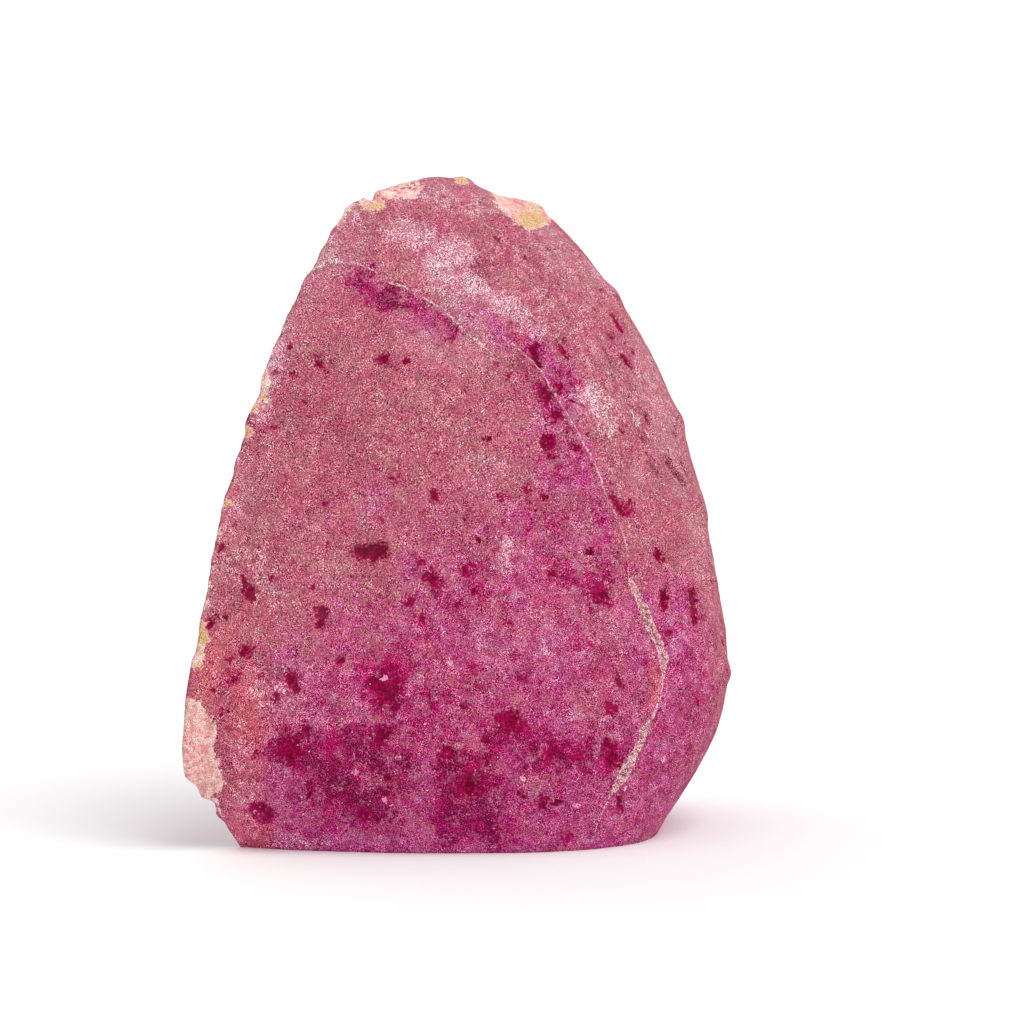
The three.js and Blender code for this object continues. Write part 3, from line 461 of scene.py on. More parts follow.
def paint_fields(P, N):
    """All marks as numbers at each point of the rind."""
    w = np.stack([fbm(P, 2.2, 3, off=s) for s in (3.1, 41.7, 77.9)], 1)
    w1 = np.stack([fbm(P, 1.2, 1, off=s) for s in (13.1, 31.7, 67.9)], 1)
    w2 = np.stack([fbm(P, 6.0, 3, off=s) for s in (9.1, 51.7, 97.9)], 1)
    Q = P + 0.8 * w + 0.5 * w1
    QB = P + 2.0 * w2 + 1.4 * w
    F = {}
    pit = np.zeros(len(P))
    depth = np.zeros(len(P))
    rp = np.random.default_rng(SEED + 21)
    for p in PITS:
        if len(p) == 4:
            pts, r, dep = [at(p[0], p[1])], p[2], p[3]
        else:
            pts, r, dep = [at(p[0], p[1]), at(p[2], p[3])], p[4], p[5]
        r = r * PX
        ra = r * (0.8 + 0.4 * rp.random())
        rb = r * (0.7 + 0.5 * rp.random())
        d, rad = chain(Q, np.array(pts), [ra, rb][: len(pts)])
        q = d / rad
        pit = np.maximum(pit, (0.62 + 0.38 * min(1.0, dep / 0.4)) * np.clip(1 - 0.5 * q, 0, 1))
        depth = np.maximum(depth, dep * np.clip(1 - (q / 1.15) ** 2, 0, 1) ** 1.3)
    F["pit"], depth_pit = pit, depth

    groove = np.zeros(len(P))
    for x, y, x2, y2, r, s in GROOVES:
        d, rad = chain(P + 0.25 * w + 0.25 * w1, path([(x, y), (x2, y2)]), [1.3 * r * PX, 0.95 * r * PX])
        q = d / rad
        groove = np.maximum(groove, s * np.clip(1 - 0.5 * q, 0, 1))
        depth = np.maximum(depth, 0.5 * s * np.clip(1 - (q / 1.3) ** 2, 0, 1))
    F["groove"], depth_pit = groove, np.maximum(depth, depth_pit)

    def area(rows):
        out = np.zeros(len(P))
        for pts, r, s in rows:
            d, _ = chain(QB, path(pts))
            f = s * np.clip(1.25 - 0.75 * d / (r * PX), 0, 1)
            out = 1 - (1 - out) * (1 - np.clip(f, 0, 1))
        return out

    F["dye"] = area(DYE)
    F["violet"] = area(VIOLET)
    F["magenta"] = area(MAGENTA)
    F["pale"] = area(PALE)
    F["warm"] = area(WARM)
    F["dusty"] = area(DUSTY)
    F["brown"] = area(BROWN)
    F["stria"] = area(STRIA)
    F["so"], F["sr"] = ribbon(P + 0.15 * w, N, SEAM)
    F["vo"], F["vr"] = ribbon(P + 0.20 * w, N, [VEIN])
    # broken rim, as seen from the camera's side
    v = CAM_P - P
    near = (N * v).sum(1) > 0
    q = pixel_of(P + 0.35 * w1)
    chip, ochre, dent = np.zeros(len(P)), np.zeros(len(P)), np.zeros(len(P))
    for poly, pale_, ochre_, deep in CHIPS_PX:
        s = inside_by(q, poly)
        k = np.clip(0.5 + s / 7.0, 0, 1) * near
        chip = np.maximum(chip, k * pale_)
        ochre = ochre + (ochre_ - ochre) * smooth(0.3, 0.9, k) if ochre_ else ochre
        dent = np.maximum(dent, deep * smooth(0.4, 0.9, k))
    F["chip"], F["ochre"] = chip, np.clip(ochre, 0, 1)
    # the dent that runs beside the seams
    d1, _ = chain(QB, path([(470, 306), (500, 333), (532, 352), (546, 372), (560, 396)]))
    d2, _ = chain(QB, path([(640, 425), (660, 447), (672, 463), (683, 482)]))
    for x, y, r, up in LUMPS:
        dd = np.linalg.norm(P + 0.6 * w - at(x, y), axis=1)
        dent = dent - up * np.exp(-((dd / (r * PX)) ** 2))
    F["dent"] = 0.45 * np.exp(-((d1 / 2.0) ** 2)) + 0.5 * np.exp(-((d2 / 1.5) ** 2)) + dent
    return F, depth_pit


# ------------------------------------------------------------------ relief of the rind
to_cam = CAM_P - P0
to_cam /= np.linalg.norm(to_cam, axis=1)[:, None]
facing = (N0 * to_cam).sum(1)
fields, pit_depth = paint_fields(P0, N0)

# the part that the tables don't reach carries marks of the same kinds and sizes, scattered by seed
rng = np.random.default_rng(SEED + 5)
unseen = 1 - smooth(0.02, 0.22, facing)
pool = np.where((facing < 0.08) & (P0[:, 1] > FACE_Y - 1) & (P0[:, 2] > 0))[0]
Qw = P0 + 0.9 * np.stack([fbm(P0, 2.2, 3, off=s) for s in (3.1, 41.7, 77.9)], 1)
QBw = P0 + 1.5 * np.stack([fbm(P0, 6.0, 3, off=s) for s in (9.1, 51.7, 97.9)], 1)
far_pit, far_depth, far_dye, far_pale = (np.zeros(len(P0)) for _ in range(4))
for i in rng.choice(pool, 90, replace=False):
    r = 0.35 + 1.3 * rng.random() ** 2.2
    d = np.linalg.norm(Qw - P0[i], axis=1)
    far_pit = np.maximum(far_pit, np.clip(1 - 0.5 * d / r, 0, 1))
    far_depth = np.maximum(far_depth, 0.55 * r * np.clip(1 - (d / r / 1.15) ** 2, 0, 1) ** 1.3)
    if rng.random() < 0.6:
        far_dye = 1 - (1 - far_dye) * (1 - 0.5 * np.clip(1.25 - 0.75 * d / (r * 1.7), 0, 1))
for i in rng.choice(pool, 26, replace=False):
    r = 1.6 + 2.6 * rng.random()
    low = smooth(85, 20, P0[i][2]) * 0.6 + 0.25
    d = np.linalg.norm(QBw - P0[i], axis=1)
    far_dye = 1 - (1 - far_dye) * (1 - low * np.clip(1.25 - 0.75 * d / r, 0, 1))
for i in rng.choice(pool, 14, replace=False):
    r = 2.0 + 3.0 * rng.random()
    d = np.linalg.norm(QBw - P0[i], axis=1)
    far_pale = np.maximum(far_pale, 0.8 * np.clip(1.25 - 0.75 * d / r, 0, 1))
far_mag = smooth(0.15, -0.35, (P0[:, 2] - 50) / 60 + 0.9 * fbm(P0, 30, 2, off=5.5))
fields["pit"] = np.maximum(fields["pit"], far_pit * unseen)
fields["dye"] = 1 - (1 - fields["dye"]) * (1 - far_dye * unseen)
fields["pale"] = np.maximum(fields["pale"], far_pale * unseen)
fields["magenta"] = fields["magenta"] * (1 - unseen) + unseen * np.maximum(fields["magenta"], far_mag)
fields["warm"] = np.maximum(fields["warm"], unseen * smooth(0.1, 0.45, fbm(P0, 18, 2, off=25.5)) * 0.6)
pit_depth = np.maximum(pit_depth, far_depth * unseen)

lumps = 0.42 * fbm(P0, 17.0, 2, off=2.2) + 0.22 * fbm(P0, 6.5, 2, off=12.2)
rough = 0.10 * fbm(P0, 2.4, 3, gain=0.6, off=31.0)
near_face = smooth(6.0, 0.5, P0[:, 1] - FACE_Y)
move = lumps * (1 - 0.75 * near_face) + rough - pit_depth - fields["dent"]
vein_in = fields["vr"] - np.abs(fields["vo"])
move += 0.26 * smooth(-0.45, 0.05, vein_in) - 0.14 * smooth(0.15, 0.55, vein_in)

# small breaks along the sawn rim: fresh stone shows where the edge flaked off
edge = P0[:, 1] - FACE_Y
flake = fbm(P0 * np.array([1, 0.35, 1]), 4.2, 3, off=61.0)
chip = smooth(0.02, 0.16, flake - 0.10 * edge - 0.06)
chip = chip * (0.2 + 0.8 * unseen)
move -= 0.42 * chip * smooth(4.5, 0.0, edge)
fields["chip"] = np.maximum(fields["chip"], chip * unseen * smooth(4.0, 1.5, edge))
fields["ochre"] = np.maximum(fields["ochre"], unseen * smooth(-0.1, 0.3, fbm(P0, 7.0, 2, off=81.0)))
P1 = P0 + N0 * move[:, None]

# larger conchoidal scars: the rind is pared back to a ball
SCARS = [
    (np.array([-20.5, -22.0, 133.0]), 14.4, 0.9),
    (np.array([-51.8, -25.5, 101.5]), 10.2, 0.5),
]
for c, r, g in SCARS:
    rr = r + 0.5 * fbm(P1, 3.0, 3, off=71.0)
    d = P1 - c
    L = np.linalg.norm(d, axis=1)
    inside = L < rr
    # paring goes along the ray from HEART, so that the rind stays single valued
    u = P1 - HEART
    ul = np.linalg.norm(u, axis=1)
    u = u / ul[:, None]
    m = c - HEART
    b = u @ m
    disc = np.maximum(b * b - (m @ m - rr * rr), 0)
    near = b - np.sqrt(disc)
    hit = inside & (near > 0)
    P1[hit] = HEART + u[hit] * np.minimum(near, ul)[hit][:, None]
    fields["chip"] = np.maximum(fields["chip"], inside * 1.0 * g * (P1[:, 1] < -8))
    fields["scar"] = np.maximum(fields.get("scar", np.zeros(len(P0))), inside * 1.0)


# ------------------------------------------------------------------ saw cuts
def clip(P, T, A, axis, value, snap=0.12):
    """Keeps what lies above the plane; A is the dict of fields, cut along with the points."""
    P = P.copy()
    s = P[:, axis] - value
    near = np.abs(s) < snap
    P[near, axis] = value
    s[near] = 0.0
    pos = s > 0
    k = pos[T].sum(1)
    zero = (s[T] == 0).sum(1)
    whole = (k > 0) & (k + zero == 3)
    part = (k > 0) & (k + zero < 3)
    out = [T[whole]]
    tp = T[part]
    # turn each cut triangle so that its first corner is the odd one out
    sp = s[tp]
    up = sp > 0
    down = sp < 0
    new, keys = [], {}

    def mid(a, b):
        key = (a, b) if a < b else (b, a)
        if key not in keys:
            keys[key] = len(P) + len(new)
            new.append(key)
        return keys[key]

    tris = []
    for t, uu, dd in zip(tp.tolist(), up.tolist(), down.tolist()):
        poly = []
        for i in range(3):
            a, b = t[i], t[(i + 1) % 3]
            if not dd[i]:
                poly.append(a)
            if (uu[i] and dd[(i + 1) % 3]) or (dd[i] and uu[(i + 1) % 3]):
                poly.append(mid(a, b))
        for j in range(1, len(poly) - 1):
            tris.append((poly[0], poly[j], poly[j + 1]))
    if new:
        e = np.array(new)
        w = s[e[:, 0]] / (s[e[:, 0]] - s[e[:, 1]])
        NP = P[e[:, 0]] + (P[e[:, 1]] - P[e[:, 0]]) * w[:, None]
        NP[:, axis] = value
        P = np.concatenate([P, NP])
        A = {n: np.concatenate([a, a[e[:, 0]] + (a[e[:, 1]] - a[e[:, 0]]) * w]) for n, a in A.items()}
    T = np.concatenate(out + [np.array(tris, dtype=np.int64).reshape(-1, 3)])
    used = np.unique(T)
    back = np.full(len(P), -1)
    back[used] = np.arange(len(used))
    return P[used], back[T], {n: a[used] for n, a in A.items()}


P2, T2, F2 = clip(P1, T, fields, 1, FACE_Y)
P2, T2, F2 = clip(P2, T2, F2, 2, 0.0)


def rim_loop(T):
    """The open edge, in order, turning so that the filling faces outwards."""
    e = np.concatenate([T[:, [0, 1]], T[:, [1, 2]], T[:, [2, 0]]])
    key = np.sort(e, 1)
    _, inv, cnt = np.unique(key, axis=0, return_inverse=True, return_counts=True)
    open_e = e[cnt[inv.reshape(-1)] == 1]
    nxt = {}
    for a, b in open_e.tolist():
        assert b not in nxt, "the saw cut touches itself"
        nxt[b] = a  # against the rind's own turn
    start = next(iter(nxt))
    loop = [start]
    while nxt[loop[-1]] != start:
        loop.append(nxt[loop[-1]])
    return loop, len(open_e)


loop, n_open = rim_loop(T2)
assert len(loop) == n_open, (len(loop), n_open)
lp = P2[loop]
on_face = np.abs(lp[:, 1] - FACE_Y) < 1e-9
on_foot = np.abs(lp[:, 2]) < 1e-9
corners = np.where(on_face & on_foot)[0]
print("rim", len(loop), "corners", corners, lp[corners])


# ------------------------------------------------------------------ sawn face, foot and pocket, closing the solid
def wave(u):
    return (
        0.45 * np.sin(3.1 * u[:, 0] + 4.3 * u[:, 2] + 0.7)
        + 0.35 * np.sin(5.2 * u[:, 2] - 3.3 * u[:, 0] + 2.1)
        + 0.3 * np.sin(6.1 * u[:, 0] + 2.0 * u[:, 1] - 1.3)
    )


def pocket_point(u):
    k = 1 + 0.09 * wave(u) + 0.05 * fbm(u, 0.42, 3, off=8.8)
    return POCKET_C + u * POCKET_S * k[:, None]


def pocket_mouth(alpha):
    """Where the pocket wall meets the sawn face, at each angle about the pocket's centre."""
    th = np.arctan2(np.sin(alpha) / POCKET_S[2], np.cos(alpha) / POCKET_S[0])
    lo, hi = np.full(len(th), 0.0), np.full(len(th), 0.6)
    for _ in range(40):
        m = (lo + hi) / 2
        u = np.stack([np.cos(th) * np.cos(m), np.sin(m), np.sin(th) * np.cos(m)], 1)
        y = pocket_point(u)[:, 1]
        below = y < FACE_Y
        lo, hi = np.where(below, m, lo), np.where(below, hi, m)
    return th, hi


def outline_radius(alpha):
    """Distance from the pocket's centre to the nodule's whole outline in the face plane, as if there were no foot."""
    lo, hi = np.full(len(alpha), 5.0), np.full(len(alpha), 110.0)
    for _ in range(32):
        m = (lo + hi) / 2
        p = np.stack([POCKET_C[0] + m * np.cos(alpha), np.full(len(alpha), FACE_Y), POCKET_C[2] + m * np.sin(alpha)], 1)
        d = p - HEART
        L = np.linalg.norm(d, axis=1)
        inside = L < rind_length(d / L[:, None])
        lo, hi = np.where(inside, m, lo), np.where(inside, hi, m)
    return hi


loop = np.array(loop)
k0 = corners[0]
turn = np.concatenate([loop[k0:], loop[:k0], [loop[k0]]])
tl = P2[turn]
k1 = int(np.where(turn == loop[corners[1]])[0][0])
first_is_face = abs(tl[1, 1] - FACE_Y) < 1e-9 and tl[1, 2] > 1e-9
chain_a, chain_b = turn[: k1 + 1], turn[k1:]
face_chain, foot_chain = (chain_a, chain_b) if first_is_face else (chain_b, chain_a)
pts, tris, mats = [P2], [T2], [np.zeros(len(T2), int)]
extra = {n: [a] for n, a in F2.items()}
extra["band"] = [np.zeros(len(P2))]
extra["rimd"] = [np.zeros(len(P2))]
count = len(P2)


def add_points(p, band=None, rimd=None):
    global count
    pts.append(p)
    for n in extra:
        extra[n].append(np.zeros(len(p)))
    if band is not None:
        extra["band"][-1] = band
    if rimd is not None:
        extra["rimd"][-1] = rimd
    ids = np.arange(count, count + len(p))
    count += len(p)
    return ids


def sew(outer, inner, mat):
    """Two closed rings of the same length."""
    a, b = outer, np.roll(outer, -1)
    c, d = np.roll(inner, -1), inner
    t = np.concatenate([np.stack([a, b, c], 1), np.stack([a, c, d], 1)])
    tris.append(t)
    mats.append(np.full(len(t), mat))


# straight edge between face and foot, shared by both
e0, e1 = P2[face_chain[-1]], P2[face_chain[0]]
m = int(np.linalg.norm(e1 - e0) / 0.65)
s = np.linspace(0, 1, m + 1)[1:-1]
alpha_e = e0 + (e1 - e0) * s[:, None]
edge_ids = add_points(alpha_e)
face_ring = np.concatenate([face_chain, edge_ids])
foot_ring = np.concatenate([foot_chain, edge_ids[::-1]])
P_now = np.concatenate(pts)

fp = P_now[face_ring]
alpha = np.arctan2(fp[:, 2] - POCKET_C[2], fp[:, 0] - POCKET_C[0])
rho = np.hypot(fp[:, 2] - POCKET_C[2], fp[:, 0] - POCKET_C[0])
whole = np.maximum(outline_radius(alpha), rho)
whole[: len(face_chain)] = rho[: len(face_chain)]
th, psi0 = pocket_mouth(alpha)
mouth = pocket_point(np.stack([np.cos(th) * np.cos(psi0), np.sin(psi0), np.sin(th) * np.cos(psi0)], 1))
mouth[:, 1] = FACE_Y
rin = np.hypot(mouth[:, 2] - POCKET_C[2], mouth[:, 0] - POCKET_C[0])
band_at = lambda r: (whole - r) / (whole - rin)
extra["band"][0][face_chain] = 0.0
extra["band"][1] = band_at(rho)[len(face_chain) :]
extra["rimd"][1] = (whole - rho)[len(face_chain) :]
prev = face_ring
for f in (0.35, 1.0):
    p = fp + (mouth - fp) * f
    r = rho + (rin - rho) * f
    ring = add_points(p, band_at(r), whole - r)
    sew(prev, ring, 1)
    prev = ring
# pocket wall: every fourth point goes on inwards
ring_n = len(prev)
keep = np.arange(0, ring_n, 4)
th4, psi4 = th[keep], psi0[keep]
DEEP = 15
for k in range(1, DEEP):
    psi = psi4 + (math.pi / 2 - psi4) * (k / DEEP) ** 0.9
    p = pocket_point(np.stack([np.cos(th4) * np.cos(psi), np.sin(psi), np.sin(th4) * np.cos(psi)], 1))
    ring = add_points(p, np.full(len(p), 1.0 + k / DEEP), np.full(len(p), 30.0))
    if k == 1:
        fan = []
        for j, i0 in enumerate(keep.tolist()):
            i1 = keep[j + 1] if j + 1 < len(keep) else ring_n
            run = [prev[i % ring_n] for i in range(i0, i1 + 1)]
            a, b = ring[j], ring[(j + 1) % len(ring)]
            half = len(run) // 2
            fan += [(run[i], run[i + 1], a) for i in range(half)]
            fan.append((run[half], b, a))
            fan += [(run[i], run[i + 1], b) for i in range(half, len(run) - 1)]
        tris.append(np.array(fan))
        mats.append(np.full(len(fan), 3))
    else:
        sew(prev, ring, 3)
    prev = ring
pole = add_points(pocket_point(np.array([[0.0, 1.0, 0.0]])), np.array([2.0]), np.array([30.0]))
t = np.stack([prev, np.roll(prev, -1), np.full(len(prev), pole[0])], 1)
tris.append(t)
mats.append(np.full(len(t), 3))
# foot
gp = P_now[foot_ring]
mid_foot = np.array([0.0, -9.0, 0.0])
prev = foot_ring
for f in (0.08, 0.5):
    p = gp + (mid_foot - gp) * f
    ring = add_points(p, np.full(len(p), f), np.linalg.norm(gp - p, axis=1))
    sew(prev, ring, 2)
    prev = ring
pole = add_points(mid_foot[None], np.array([1.0]), np.array([30.0]))
t = np.stack([prev, np.roll(prev, -1), np.full(len(prev), pole[0])], 1)
tris.append(t)
mats.append(np.full(len(t), 2))

PTS, TRIS, MATS = np.concatenate(pts), np.concatenate(tris), np.concatenate(mats)
ATTR = {n: np.concatenate(a) for n, a in extra.items()}


def make_mesh(name, P, T, mat_index=None, flat=(), attrs=None):
    me = bpy.data.meshes.new(name)
    me.vertices.add(len(P))
    me.vertices.foreach_set("co", (P * MM).astype(np.float32).ravel())
    me.loops.add(len(T) * 3)
    me.loops.foreach_set("vertex_index", T.astype(np.int32).ravel())
    me.polygons.add(len(T))
    me.polygons.foreach_set("loop_start", np.arange(0, len(T) * 3, 3, dtype=np.int32))
    me.update(calc_edges=True)
    if mat_index is not None:
        me.polygons.foreach_set("material_index", mat_index.astype(np.int32))
    sm = np.ones(len(T), bool)
    if mat_index is not None:
        for f in flat:
            sm[mat_index == f] = False
    me.polygons.foreach_set("use_smooth", sm)
    for n, a in (attrs or {}).items():
        me.attributes.new(n, "FLOAT", "POINT").data.foreach_set("value", a.astype(np.float32))
    me.update()
    ob = bpy.data.objects.new(name, me)
    bpy.context.scene.collection.objects.link(ob)
    return ob


def closed(P, T):
    e = np.sort(np.concatenate([T[:, [0, 1]], T[:, [1, 2]], T[:, [2, 0]]]), 1)
    _, cnt = np.unique(e, axis=0, return_counts=True)
    v = np.einsum("ij,ij->i", P[T[:, 0]], np.cross(P[T[:, 1]], P[T[:, 2]])).sum() / 6
    return int((cnt != 2).sum()), v


print("stone", len(PTS), len(TRIS), "open edges and volume", closed(PTS, TRIS))
stone = make_mesh("geode_stone", PTS, TRIS, MATS, flat=(1, 2), attrs=ATTR)
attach(stone, "root")
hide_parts("geode")


# ------------------------------------------------------------------ quartz points in the pocket
def quartz(foot, axis, r, h, rr, root):
    """One six-sided crystal: a prism and an uneven six-sided pyramid. Convex, closed, faces outwards."""
    axis = axis / np.linalg.norm(axis)
    a = np.cross(axis, [0.3, 0.5, 0.8])
    a /= np.linalg.norm(a)
    b = np.cross(axis, a)
    t0 = rr.random() * math.pi
    ang = t0 + np.arange(6) * math.pi / 3 + rr.normal(0, 0.05, 6)
    rad = r * (1 + rr.normal(0, 0.07, 6))
    top = h + r * rr.normal(0, 0.16, 6)
    ring = np.cos(ang)[:, None] * a + np.sin(ang)[:, None] * b
    low = foot - axis * root + ring * rad[:, None] * 0.9
    up = foot + ring * rad[:, None] + axis * top[:, None]
    off = rr.normal(0, 0.16, 2) * r
    tip = foot + axis * (h + r * (1.15 + 0.25 * rr.random())) + a * off[0] + b * off[1]
    P = np.concatenate([low, up, [tip], [foot - axis * root]])
    T = []
    for i in range(6):
        j = (i + 1) % 6
        T += [(i, j, 6 + j), (i, 6 + j, 6 + i), (6 + i, 6 + j, 12), (j, i, 13)]
    T = np.array(T)
    if closed(P, T)[1] < 0:
        T = T[:, ::-1]
    return P, T


def saw_off(P, T, y):
    """Cuts a convex crystal flat at the sawn face, and closes the cut."""
    if P[:, 1].min() >= y:
        return P, T
    if P[:, 1].max() <= y + 0.3:
        return None
    P, T, _ = clip(P, T, {}, 1, y, snap=1e-4)
    loop, _ = rim_loop(T)
    c = P[loop].mean(0)
    k = len(P)
    P = np.concatenate([P, [c]])
    T = np.concatenate([T, [(loop[i], loop[(i + 1) % len(loop)], k) for i in range(len(loop))]])
    return P, T


rq = np.random.default_rng(SEED + 11)
crystals = []
golden = math.pi * (3 - math.sqrt(5))
sets = [(70, 2.5, 3.9, 0.9, 2.6), (210, 1.2, 2.3, 0.5, 1.7), (260, 0.7, 1.3, 0.3, 1.0)]
for n, r0, r1, h0, h1 in sets:
    for i in range(n):
        y = 0.99 - 1.02 * (i + 0.5) / n
        ring = math.sqrt(max(1 - y * y, 0))
        a = i * golden + rq.normal(0, 0.12) + n
        u = np.array([[ring * math.cos(a), y, ring * math.sin(a)]])
        foot = pocket_point(u)[0]
        nrm = -u[0] / POCKET_S
        nrm /= np.linalg.norm(nrm)
        nrm = nrm + rq.normal(0, 0.20, 3)
        r = r0 + (r1 - r0) * rq.random() ** 1.3
        h = h0 + (h1 - h0) * rq.random()
        P, T_ = quartz(foot, nrm, r, h, rq, 1.2 + 0.5 * r)
        got = saw_off(P, T_, FACE_Y + 0.02)
        if got is not None:
            crystals.append(got)
print("crystals", len(crystals))

# crystals that don't touch go in one group; the groups are then joined, so that all of them are one solid
spheres = [(p.mean(0), np.linalg.norm(p - p.mean(0), axis=1).max()) for p, _ in crystals]
groups = []
for i, (c, r) in enumerate(spheres):
    for g in groups:
        if all(np.linalg.norm(c - spheres[j][0]) > r + spheres[j][1] for j in g):
            g.append(i)
            break
    else:
        groups.append([i])
print("groups", [len(g) for g in groups])


def group_object(name, ids):
    P, T_, k = [], [], 0
    for i in ids:
        P.append(crystals[i][0])
        T_.append(crystals[i][1] + k)
        k += len(crystals[i][0])
    return make_mesh(name, np.concatenate(P), np.concatenate(T_))


druse = group_object("quartz_points", groups[0])
for g in groups[1:]:
    other = group_object("joining", g)
    mod = druse.modifiers.new("join", "BOOLEAN")
    mod.operation, mod.solver, mod.object = "UNION", "MANIFOLD", other
    dg = bpy.context.evaluated_depsgraph_get()
    new = bpy.data.meshes.new_from_object(druse.evaluated_get(dg))
    druse.modifiers.clear()
    old = druse.data
    druse.data = new
    bpy.data.meshes.remove(old)
    om = other.data
    bpy.data.objects.remove(other)
    bpy.data.meshes.remove(om)
druse.data.name = "quartz_points"
druse.data.polygons.foreach_set("use_smooth", np.zeros(len(druse.data.polygons), bool))
bm = bmesh.new()
bm.from_mesh(druse.data)
bmesh.ops.triangulate(bm, faces=bm.faces)
# gaps shut in between crossing crystals are filled: only the shell that encloses volume stays
seen, shells = set(), []
bm.faces.ensure_lookup_table()
for f in bm.faces:
    if f.index in seen:
        continue
    todo, shell = [f], []
    seen.add(f.index)
    while todo:
        g = todo.pop()
        shell.append(g)
        for e in g.edges:
            for h in e.link_faces:
                if h.index not in seen:
                    seen.add(h.index)
                    todo.append(h)
    vol = sum(x.verts[0].co.dot(x.verts[1].co.cross(x.verts[2].co)) for x in shell) / 6
    shells.append((vol, shell))
bad = [f for v, s_ in shells if v <= 0 for f in s_]
if bad:
    bmesh.ops.delete(bm, geom=bad, context="FACES")
bm.to_mesh(druse.data)
bm.free()
print("druse", len(druse.data.polygons), "shells", len(shells), "dropped", len(bad))
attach(druse, "root")
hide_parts("geode")


# ------------------------------------------------------------------ materials, all from noise and the marks above
def srgb(r, g, b, a=1.0):
    f = lambda c: c / 12.92 if c <= 0.04045 else ((c + 0.055) / 1.055) ** 2.4
    return (f(r / 255), f(g / 255), f(b / 255), a)


class Graph:
    """Short names for building a node material. Positions are in mm on the stone."""

    def __init__(self, name):
        self.mat = bpy.data.materials.new(name)
        self.mat.use_nodes = True
        self.t = self.mat.node_tree
        self.shader = self.t.nodes["Principled BSDF"]
        tc = self.t.nodes.new("ShaderNodeTexCoord")
        self.mm = self.vec("SCALE", tc.outputs["Object"], 1000.0)

    def put(self, socket, value):
        if isinstance(value, bpy.types.NodeSocket):
            self.t.links.new(value, socket)
        elif value is not None:
            socket.default_value = value

    def math(self, op, a, b=None, c=None, clamp=False):
        n = self.t.nodes.new("ShaderNodeMath")
        n.operation, n.use_clamp = op, clamp
        for s, v in zip(n.inputs, (a, b, c)):
            self.put(s, v)
        return n.outputs[0]

    def vec(self, op, a, b=None):
        n = self.t.nodes.new("ShaderNodeVectorMath")
        n.operation = op
        self.put(n.inputs[0], a)
        if op == "SCALE":
            self.put(n.inputs["Scale"], b)
        elif b is not None:
            self.put(n.inputs[1], b)
        return n.outputs[1 if op in ("LENGTH", "DISTANCE", "DOT_PRODUCT") else 0]

    def noise(self, size, detail=2.0, rough=0.5, dist=0.0, off=0.0, at=None, lac=2.0):
        """Noise between 0 and 1 with lumps about size mm across."""
        n = self.t.nodes.new("ShaderNodeTexNoise")
        p = at or self.mm
        if off:
            p = self.vec("ADD", p, (off, off * 0.7, -off))
        self.put(n.inputs["Vector"], p)
        for k, v in (("Scale", 1.0 / size), ("Detail", detail), ("Roughness", rough), ("Distortion", dist), ("Lacunarity", lac)):
            n.inputs[k].default_value = v
        return n.outputs[0]

    def warp(self, size, off=0.0):
        """A wandering direction, about zero on average."""
        n = self.t.nodes.new("ShaderNodeTexNoise")
        self.put(n.inputs["Vector"], self.vec("ADD", self.mm, (off, off * 0.7, -off)))
        n.inputs["Scale"].default_value = 1.0 / size
        return self.vec("SUBTRACT", n.outputs["Color"], (0.5, 0.5, 0.5))

    def cells(self, size, what="Distance", feature="F1", rnd=1.0, off=0.0, at=None):
        n = self.t.nodes.new("ShaderNodeTexVoronoi")
        n.feature = feature
        p = at or self.mm
        if off:
            p = self.vec("ADD", p, (off, off * 0.7, -off))
        self.put(n.inputs["Vector"], p)
        n.inputs["Scale"].default_value = 1.0 / size
        n.inputs["Randomness"].default_value = rnd
        return n.outputs[what]

    def channel(self, colour, i=0):
        n = self.t.nodes.new("ShaderNodeSeparateColor")
        self.put(n.inputs[0], colour)
        return n.outputs[i]

    def gamma(self, colour, g):
        n = self.t.nodes.new("ShaderNodeGamma")
        self.put(n.inputs[0], colour)
        n.inputs[1].default_value = g
        return n.outputs[0]

    def scatter(self, colour, *terms):
        """Adds noise to a colour as the eye measures it: each term is a number around zero and the
        red, green and blue that one unit of it adds."""
        c = self.gamma(colour, 1 / 2.2)
        for x, rgb in terms:
            c = self.vec("ADD", c, self.vec("SCALE", rgb, x))
        return self.gamma(self.vec("MAXIMUM", c, (0.004, 0.004, 0.004)), 2.2)

    def step(self, x, a, b, lo=0.0, hi=1.0, linear=False):
        n = self.t.nodes.new("ShaderNodeMapRange")
        n.interpolation_type = "LINEAR" if linear else "SMOOTHSTEP"
        n.clamp = True
        for k, v in ((0, x), (1, a), (2, b), (3, lo), (4, hi)):
            self.put(n.inputs[k], v)
        return n.outputs[0]

    def mix(self, f, a, b, mode="MIX"):
        n = self.t.nodes.new("ShaderNodeMix")
        n.data_type, n.blend_type = "RGBA", mode
        self.put(n.inputs[0], f)
        self.put(n.inputs[6], a)
        self.put(n.inputs[7], b)
        return n.outputs[2]

    def attr(self, name):
        n = self.t.nodes.new("ShaderNodeAttribute")
        n.attribute_name = name
        return n.outputs["Fac"]

    def ramp(self, x, stops, mode="LINEAR"):
        n = self.t.nodes.new("ShaderNodeValToRGB")
        n.color_ramp.interpolation = mode
        el = n.color_ramp.elements
        while len(el) < len(stops):
            el.new(0.5)
        for e, (p, c) in zip(el, stops):
            e.position, e.color = p, c
        self.put(n.inputs[0], x)
        return n.outputs[0]

    def add(self, *xs):
        out = xs[0]
        for x in xs[1:]:
            out = self.math("ADD", out, x)
        return out

    def mul(self, *xs):
        out = xs[0]
        for x in xs[1:]:
            out = self.math("MULTIPLY", out, x)
        return out

    def centred(self, x, gain):
        """0.5 becomes 0, and the swing is scaled."""
        return self.math("MULTIPLY_ADD", x, gain, -0.5 * gain)

